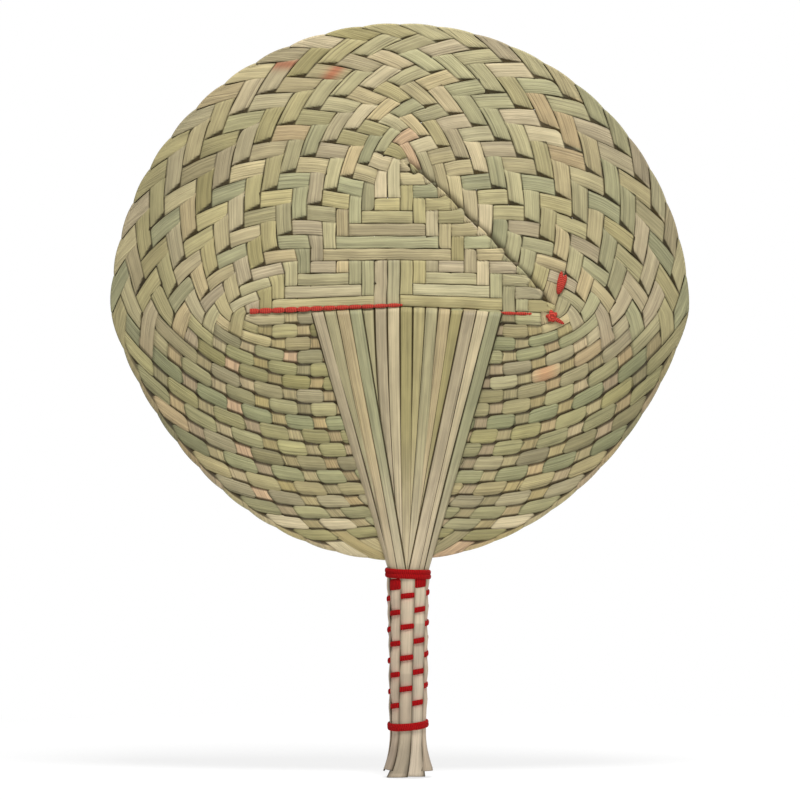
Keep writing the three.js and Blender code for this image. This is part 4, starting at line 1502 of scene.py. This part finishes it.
@dataclass
class Handle:
    """The handle: a core of leaf ends, nine stakes round it and the red yarn that holds them.

    Attributes:
        x: the handle's axis.
        neck_y: the neck's height.
        core_radius: radius of the bundle inside the stakes.
        core_length: its length below the neck.
        core_rise: how far it stands up inside the top binding.
        core_spread: how far its top spreads at the back, where no ribs come in.
        stakes: the number of stakes.
        radius: the stakes' middle radius.
        twist: how far the stakes turn to the left on the way down, in radians a millimetre.
        taper: how much thicker the handle is at the neck than at the bottom binding, in radius.
        tail_start: from the neck down to where the stakes flare.
        tail_length: the longest tail.
        tail_flare: how far the tails spread.
        tail_widen: how much wider they unroll, as a share.
        tail_turn: how far they turn on to the left, in radians.
        tail_dark: how much darker they are, as a share.
        tail_uneven: how much shorter than the front one the other tails are.
        yarn_width: of the weaving yarn.
        yarn_depth: its thickness.
        yarn_pitch: its drop in one turn.
        yarn_start: from the neck down to its bar on the front stake.
        yarn_lead: stakes that it passes before that bar.
        lead_pitch: its drop there, as a share of the pitch.
        yarn_stakes: stakes that it passes after it.
        double_until: stake up to which it lies double.
        double_widen: how much wider it is there, as a share.
        swell: how far a stake bulges over the yarn or gives under it.
        press_reach: how far from the yarn that shows.
        stake_rise: how far a stake runs up above the neck.
        stake_stations: stations along a stake.
        edge_rise: how far a stake's right-hand edge stands over its left-hand one.
        blush: the display colour that the yarn's dye leaves on the stakes.
        blush_reach: how far from the yarn it shows.
        blush_share: how much of the leaf's colour it covers.
        binding_width: of the bindings' yarn.
        binding_depth: its thickness.
        binding_rise: the top binding's start above the neck.
        top_pitch: the top binding's drop in one turn.
        bottom_pitch: the bottom binding's.
        top_turns: turns of the top binding.
        bottom_turns: turns of the bottom binding.
        bottom_start: from the neck down to the bottom binding.
    """

    x: float = HANDLE_X
    neck_y: float = NECK_Y
    core_radius: float = 6.9
    core_length: float = 92.0
    core_rise: float = 1.8
    core_spread: float = 1.5
    stakes: int = 9
    radius: float = 8.9
    twist: float = 0.002
    taper: float = 1.2
    tail_start: float = 79.0
    tail_length: float = 22.5
    tail_flare: float = 4.6
    tail_widen: float = 0.35
    tail_turn: float = 0.28
    tail_dark: float = 0.25
    tail_uneven: float = 3.4
    yarn_width: float = 2.6
    yarn_depth: float = 0.9
    yarn_pitch: float = 7.75
    yarn_start: float = 11.0
    yarn_lead: int = 11
    lead_pitch: float = 0.8
    yarn_stakes: int = 68
    double_until: float = -6.0
    double_widen: float = 1.15
    swell: float = 0.3
    press_reach: float = 3.0
    stake_rise: float = 1.5
    stake_stations: int = 150
    edge_rise: float = 0.28
    blush: tuple[float, float, float] = (214, 130, 120)
    blush_reach: float = 2.4
    blush_share: float = 0.45
    binding_width: float = 2.6
    binding_depth: float = 1.5
    binding_rise: float = 1.9
    top_pitch: float = 2.1
    bottom_pitch: float = 1.1
    top_turns: float = 2.0
    bottom_turns: float = 2.0
    bottom_start: float = 74.6
    section: LeafStrip = field(default_factory=LeafStrip)
    yarn: YarnSection = field(default_factory=YarnSection)
    tones: LeafTones = field(
        default_factory=lambda: LeafTones(
            palette=((194, 176, 150), (184, 165, 142), (180, 168, 142), (198, 182, 159)),
            weights=(1.0, 1.0, 1.0, 1.0),
            blushes=(),
            stains=(),
        )
    )

    def round_axis(self, angle: np.ndarray, radius: np.ndarray, y: np.ndarray) -> np.ndarray:
        """Points at an angle from the front and a radius round the handle's axis, at some height."""
        angle, radius, y = np.broadcast_arrays(angle, radius, y)
        return np.stack((self.x + radius * np.sin(angle), y, radius * np.cos(angle)), -1)

    def yarn_height(self, stake: np.ndarray) -> np.ndarray:
        """The weaving yarn's height at a stake, counted on round its turns from the front stake."""
        closer = np.where(stake < 0, self.lead_pitch, 1.0)
        return self.neck_y - self.yarn_start - self.yarn_pitch * closer * stake / self.stakes

    def girth(self, y: np.ndarray) -> np.ndarray:
        """How much thicker the handle is at some height: it tapers down to the bottom binding."""
        return self.taper * (np.clip(1.0 - (self.neck_y - y) / self.bottom_start, 0.0, 1.0) - 0.2)

    def lean(self, y: np.ndarray) -> np.ndarray:
        """The angle that the stakes have turned to the left at some height."""
        return -self.twist * (self.neck_y - y)

    def stake(self, number: int) -> Loft:
        """Makes one stake.

        It bends round the handle's circle. It bulges where the yarn runs behind it and gives where the yarn
        runs over it, and below the bottom binding it flares by the square of the way down.

        Args:
            number: the stake's number round the handle, from the front.

        Returns:
            The stake's solid.
        """
        rng = np.random.default_rng(STAKE_SEED + number)
        turn = 2 * np.pi / self.stakes
        shorter = 0.15 * number if number < 2 else 1.0 + 0.12 * np.sin(2.4 * number)
        length = self.tail_start + self.tail_length - self.tail_uneven * shorter
        drop = np.linspace(-self.stake_rise, length, self.stake_stations)
        y = self.neck_y - drop
        passes = np.arange(-number - self.stakes, self.yarn_stakes + self.stakes, self.stakes)
        passes = passes[(passes >= -self.yarn_lead) & (passes <= self.yarn_stakes)]
        sign = np.where(passes % 2 == 0, -1.0, 1.0)
        press = (sign * bell(y[:, None] - self.yarn_height(passes)[None, :], self.press_reach)).sum(1)
        tail = np.clip((drop - self.tail_start) / self.tail_length, 0.0, 1.0)
        radius = self.radius + self.girth(y) + self.swell * press + self.tail_flare * tail**2
        radius = radius + 0.2 * np.sin(drop / 9 + number)
        q = self.section.q
        half_angle = turn / 2 * (1.0 + self.tail_widen * tail)
        middle = number * turn + self.lean(y) - self.tail_turn * tail**1.5
        middle = middle + rng.normal(0.0, 0.012) * np.sin(drop / 30 + number)
        angle = middle[:, None] + half_angle[:, None] * q[None, :]
        cut = rng.normal(0.0, 0.25) * tail[:, None] * q[None, :]
        lapped = self.edge_rise * (q[None, :] + 1) / 2
        points = self.round_axis(angle, radius[:, None] + lapped, y[:, None] + cut)
        tone = self.tones.along(rng, (drop / 25 + 1).astype(int))
        loft = self.section.loft(Trace.open(points, 0.0), tone, rng.uniform(), NO_CREASE)
        # Painted shade: the stakes' edges darken, more along the tails, and their inner side is painted at
        # 0.6
        edge_shade_depth = 0.6 + 0.38 * smooth_step(3.0 * tail)
        outside = 1.0 - edge_shade_depth[:, None] * smooth_step((np.abs(q) - 0.68) / 0.25)
        loft.strip[..., 0] = np.concatenate((outside, outside[:, ::-1] * 0.6), 1)
        bars = passes[passes % 2 == 0]
        near = bell(loft.rings[..., 1:2] - self.yarn_height(bars), self.blush_reach).max(-1)
        loft.tone = blend(loft.tone, linear(*self.blush), near[..., None] * self.blush_share)
        loft.tone = loft.tone * (1 - self.tail_dark * smooth_step(2 * tail))[:, None, None]
        return loft

    def core(self) -> Loft:
        """Makes the bundle of leaf ends inside the stakes: a rod with shallow grooves between the ends."""
        around = 36
        y = np.linspace(self.neck_y + self.core_rise, self.neck_y - self.core_length, 40)
        angle = np.arange(around) * 2 * np.pi / around
        radius = self.core_radius - 0.25 + 0.25 * np.cos(9 * angle)
        near_top = self.core_spread * smooth_step((y - self.neck_y) / 4 + 1)
        spread = near_top[:, None] * smooth_step(0.3 - np.cos(angle))
        radius = radius[None, :] + self.girth(y)[:, None] + spread
        points = self.round_axis(angle[None, :], radius, y[:, None])
        rng = np.random.default_rng(CORE_SEED)
        tone = np.repeat(self.tones.along(rng, np.zeros(len(y), dtype=int))[:, None, :], around, 1) * 0.8
        u = np.repeat((self.neck_y - y)[:, None], around, 1) * MILLIMETRE
        v = np.repeat((angle * self.core_radius)[None, :], len(y), 0) * MILLIMETRE
        ones = np.ones(u.shape)
        # Painted shade of 0.7 over the whole core
        marks = np.stack((ones * 0.7, ones * 0.5, ones * 0.3, ones * NO_CREASE), -1)
        return Loft(points, np.stack((u, v), -1), tone, marks)

    def weaving_yarn(self) -> Loft:
        """Makes the yarn woven through the stakes: a long helix that dives in or out at each slit."""
        per_stake = 16
        count = (self.yarn_lead + self.yarn_stakes) * per_stake + 1
        stake = np.linspace(-self.yarn_lead, self.yarn_stakes, count)
        slit = np.floor(stake) + 0.5
        left = np.where(np.floor(stake) % 2 == 0, 1.0, -1.0)
        swing = smooth_step((stake - slit) / 0.3 + 0.5)
        side = left * (1 - 2 * swing)
        over = self.radius + self.section.thickness / 2 + self.yarn_depth / 2 - 0.1
        under = self.radius - self.section.thickness / 2 - self.yarn_depth / 2
        y = self.yarn_height(stake)
        radius = self.girth(y) + (over + under) / 2 + side * (over - under) / 2
        path = self.round_axis(self.lean(y) - stake * 2 * np.pi / self.stakes, radius, y)
        taper = self.yarn.taper(count, 3)
        doubled = 1.0 + self.double_widen * smooth_step(self.double_until - stake)
        width = taper * doubled * self.yarn_width / 2
        return self.yarn.loft(path, upwards(count), width, taper * self.yarn_depth / 2)

    def binding(self, start_y: float, turns: float, pitch: float, droop: float, slope: float) -> Loft:
        """Makes a binding: the yarn wound close round the stakes.

        Args:
            start_y: its height at the back, where it starts.
            turns: its turns.
            pitch: its drop in one turn.
            droop: how much lower it lies at the front than at the back.
            slope: how much higher its right-hand side is than its left-hand side.

        Returns:
            The binding's solid.
        """
        count = int(turns * 72) + 1
        turn = np.linspace(0.0, turns, count)
        angle = np.pi + turn * 2 * np.pi
        y = start_y - pitch * turn + slope * np.sin(angle) / 2 - droop * np.cos(angle) / 2
        radius = self.radius + self.girth(y) + 0.95 + 0.08 * np.sin(turn * 5.0)
        path = self.round_axis(angle, radius, y)
        taper = self.yarn.taper(count, 3)
        width, depth = self.binding_width / 2, self.binding_depth / 2
        return self.yarn.loft(path, upwards(count), taper * width, taper * depth)

    def build(self, wardrobe: Wardrobe) -> None:
        """Makes and dresses the core, the stakes, the weaving yarn and the bindings."""
        wardrobe.dress(make_piece("bundled_core", [self.core()]), Slot.CORE, "handle_core")
        for number in range(self.stakes):
            name = f"handle_stake_{number + 1:02d}"
            wardrobe.dress(make_piece("bent_" + name, [self.stake(number)]), Slot.STAKE, name)
        wardrobe.dress(make_piece("woven_red_yarn", [self.weaving_yarn()]), Slot.YARN, "weaving_yarn")
        top_y = self.neck_y + self.binding_rise
        top = self.binding(top_y, self.top_turns, self.top_pitch, droop=0.2, slope=0.0)
        wardrobe.dress(make_piece("wound_top_binding", [top]), Slot.YARN, "top_binding")
        bottom_y = self.neck_y - self.bottom_start
        bottom = self.binding(bottom_y, self.bottom_turns, self.bottom_pitch, droop=1.8, slope=2.0)
        wardrobe.dress(make_piece("wound_bottom_binding", [bottom]), Slot.YARN, "bottom_binding")


@dataclass
class StartYarn:
    """The red yarn at the panel's foot, which twines over the warps, with its knot and its loose end.

    Attributes:
        lane: pitch of the warps.
        left: pixel where it starts.
        middle: pixel where it dives behind the lowest weft.
        again: pixel where it comes out again.
        last: pixel where it dives for the second time.
        knot: pixel of its knot.
        tip: pixel of the short end by the knot.
        loop: pixels of the foot and the head of the loose loop.
    """

    lane: float = LANE
    left: tuple[float, float] = (250.0, 311.5)
    middle: tuple[float, float] = (402.0, 305.0)
    again: tuple[float, float] = (499.0, 313.0)
    last: tuple[float, float] = (532.0, 314.0)
    knot: tuple[float, float] = (552.0, 317.0)
    tip: tuple[float, float] = (564.0, 324.0)
    loop: tuple[tuple[float, float], tuple[float, float]] = ((558.0, 294.0), (566.0, 275.0))
    yarn: YarnSection = field(default_factory=lambda: YarnSection((182.0, 66.0, 54.0)))

    def line(self) -> Loft:
        """Makes the twined line: it stands out over each warp and draws in between two of them."""
        pixels = (self.left, self.middle, self.again, self.last, self.knot)
        knots = np.array([on_blade(*pixel) for pixel in pixels])
        x = np.arange(knots[0, 0], knots[-1, 0], 0.25)
        y = np.interp(x, knots[:, 0], knots[:, 1])
        between = np.abs(np.sin(np.pi * x / self.lane)) ** 0.3
        shown = np.where(x < knots[1, 0], 1.0, np.where((x > knots[2, 0]) & (x < knots[3, 0]), 0.75, 0.0))
        kernel = np.ones(9) / 9
        shown = np.convolve(np.pad(shown, 4, mode="edge"), kernel, mode="valid")
        z = -0.6 + shown * (1.2 + 0.9 * between)
        path = np.stack((x, y, z), -1)
        thin = 1.0 - 0.3 * smooth_step((x + 70.0) / 70.0)
        width = (0.45 + 0.95 * between * shown) * thin
        return self.yarn.loft(path, upwards(len(x)), width, 0.4 + 0.2 * between * shown)

    def spike(self, start: np.ndarray, end: np.ndarray, thick: float) -> Loft:
        """Makes one tapered end of yarn between two points, arched to the front."""
        t = np.linspace(0.0, 1.0, 16)
        path = start + (end - start) * t[:, None]
        path[:, 2] += 0.8 * np.sin(np.pi * t)
        width = thick * (0.35 + 0.65 * np.sin(np.pi * (0.15 + 0.75 * t)))
        side = np.repeat(np.cross(end - start, (0.0, 0.0, 1.0))[None, :], len(t), 0)
        return self.yarn.loft(path, side, width * self.yarn.taper(len(t), 3), 0.6 * width)

    def knot_ends(self) -> list[Loft]:
        """Makes the knot: short ends that fan out from its middle, and the longer tip."""
        middle = np.append(on_blade(*self.knot), 1.3)
        angle = np.radians((40.0, 100.0, 170.0, 230.0, 290.0))
        reach = np.array((3.0, 3.4, 3.0, 2.6, 2.4))
        ends = middle + np.stack((reach * np.cos(angle), reach * np.sin(angle), -0.6 * np.ones(5)), -1)
        spikes = [self.spike(middle, end, 1.3) for end in ends]
        return spikes + [self.spike(middle, np.append(on_blade(*self.tip), 0.9), 1.0)]

    def loose_loop(self) -> list[Loft]:
        """Makes the loose loop above the knot: two broad ends side by side, from one foot."""
        foot = np.append(on_blade(*self.loop[0]), 0.7)
        head = np.append(on_blade(*self.loop[1]), 1.6)
        offset = np.array((2.2, -1.8, -0.4))
        return [self.spike(foot, head, 1.6), self.spike(foot, head - offset, 1.4)]

    def build(self, wardrobe: Wardrobe) -> None:
        """Makes and dresses the line, the knot and the loop as one piece."""
        piece = make_piece("twined_start_yarn", [self.line(), *self.knot_ends(), *self.loose_loop()])
        wardrobe.dress(piece, Slot.YARN, "start_yarn")


# The studio


@dataclass(frozen=True)
class Studio:
    """A pale floor, soft light from the front and the photograph's camera.

    Attributes:
        distance: from the camera to the blade, in metres.
        frame_width: width of the picture at the blade, in metres.
        floor_radius: in metres.
        floor_gap: how far it lies under the object's lowest point, in metres.
        floor_glow: how much of its colour is plain white.
        aim: where the lamps look, in metres.
        ambient: strength of the light from all round.
    """

    distance: float = 3.0
    frame_width: float = 0.4
    floor_radius: float = 0.6
    floor_gap: float = 0.0005
    floor_glow: float = 0.75
    aim: tuple[float, float, float] = (0.0, 0.0, 0.12)
    ambient: float = 0.32

    def camera(self) -> None:
        """Places the camera square to the blade, at the height of the photograph's middle."""
        data = bpy.data.cameras.new("camera")
        data.lens = data.sensor_width * self.distance / self.frame_width
        camera = bpy.data.objects.new("camera", data)
        middle = to_frame(np.append(on_blade(*PHOTO_MIDDLE_PIXEL), 0.0))
        camera.location = Vector(middle) + Vector((0.0, -self.distance, 0.0))
        camera.rotation_euler = (np.pi / 2, 0.0, 0.0)
        bpy.context.scene.collection.objects.link(camera)
        bpy.context.scene.camera = camera

    def lamp(self, name: str, place: tuple[float, float, float], size: float, power: float) -> None:
        """Adds a square lamp that looks at the blade's middle.

        Args:
            name: the lamp's name.
            place: its position in metres.
            size: its side in metres.
            power: in watts.
        """
        data = bpy.data.lights.new(name, "AREA")
        data.size = size
        data.energy = power
        lamp = bpy.data.objects.new(name, data)
        lamp.location = place
        aim = Vector(self.aim) - lamp.location
        lamp.rotation_euler = aim.to_track_quat("-Z", "Y").to_euler()
        bpy.context.scene.collection.objects.link(lamp)

    @staticmethod
    def shows(nodes: Nodes) -> bpy.types.NodeSocket:
        """A value of 1 for what the camera sees directly, in a reflection or through glass."""
        path = nodes.add("LightPath").outputs
        seen = nodes.math("MAXIMUM", path["Is Camera Ray"], path["Is Glossy Ray"])
        return nodes.math("MAXIMUM", seen, path["Is Transmission Ray"])

    def surroundings(self) -> None:
        """Sets a white background and an even light from all round."""
        world = bpy.data.worlds.new("studio")
        world.use_nodes = True
        nodes = Nodes(world.node_tree)
        strength = nodes.math("MULTIPLY_ADD", self.shows(nodes), 1.0 - self.ambient, self.ambient)
        background = nodes.tree.nodes["Background"]
        nodes.feed(background, {"Color": (1.0, 1.0, 1.0, 1.0), "Strength": strength})
        bpy.context.scene.world = world

    def floor(self) -> None:
        """Lays a round pale floor at the object's lowest point, which keeps the object's shadow."""
        around = 96
        angle = np.arange(around) * 2 * np.pi / around
        height = CAD_BOX[0].z - self.floor_gap
        x, y = self.floor_radius * np.cos(angle), self.floor_radius * np.sin(angle)
        points = np.stack((x, y, np.full(around, height)), -1)
        mesh = bpy.data.meshes.new("floor")
        mesh.from_pydata(points.tolist(), [], [list(range(around))])
        floor = bpy.data.objects.new("floor", mesh)
        material, nodes, shader = new_material("pale_floor")
        pale = {"Base Color": (0.92, 0.92, 0.92, 1.0), "Roughness": 0.9, "Specular IOR Level": 0.0}
        nodes.feed(shader, pale)
        glow = nodes.add("Emission", {"Color": (1.0, 1.0, 1.0, 1.0), "Strength": 1.0})
        share = nodes.math("MULTIPLY", self.shows(nodes), self.floor_glow)
        mix = nodes.add("MixShader", {0: share, 1: shader.outputs[0], 2: glow.outputs[0]})
        nodes.feed(nodes.tree.nodes["Material Output"], {"Surface": mix.outputs[0]})
        mesh.materials.append(material)
        bpy.context.scene.collection.objects.link(floor)

    def build(self) -> None:
        """Sets up the camera, the light and the floor."""
        bpy.context.scene.view_settings.view_transform = "Standard"
        self.camera()
        self.surroundings()
        self.lamp("key", place=(0.1, -0.75, 1.45), size=0.5, power=25.0)
        self.lamp("fill", place=(1.3, -1.6, 0.9), size=1.2, power=5.0)
        self.lamp("back", place=(0.8, 1.6, 1.4), size=1.0, power=20.0)
        self.floor()


def write_sizes() -> None:
    """Updates the view layer."""
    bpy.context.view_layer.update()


def main() -> None:
    """Builds the fan and its studio."""
    logging.basicConfig(level=logging.INFO, format="%(name)s: %(message)s")
    wardrobe = Wardrobe()
    Studio().build()
    Blade().build(wardrobe)
    Handle().build(wardrobe)
    StartYarn().build(wardrobe)
    write_sizes()


if __name__ == "__main__":
    main()
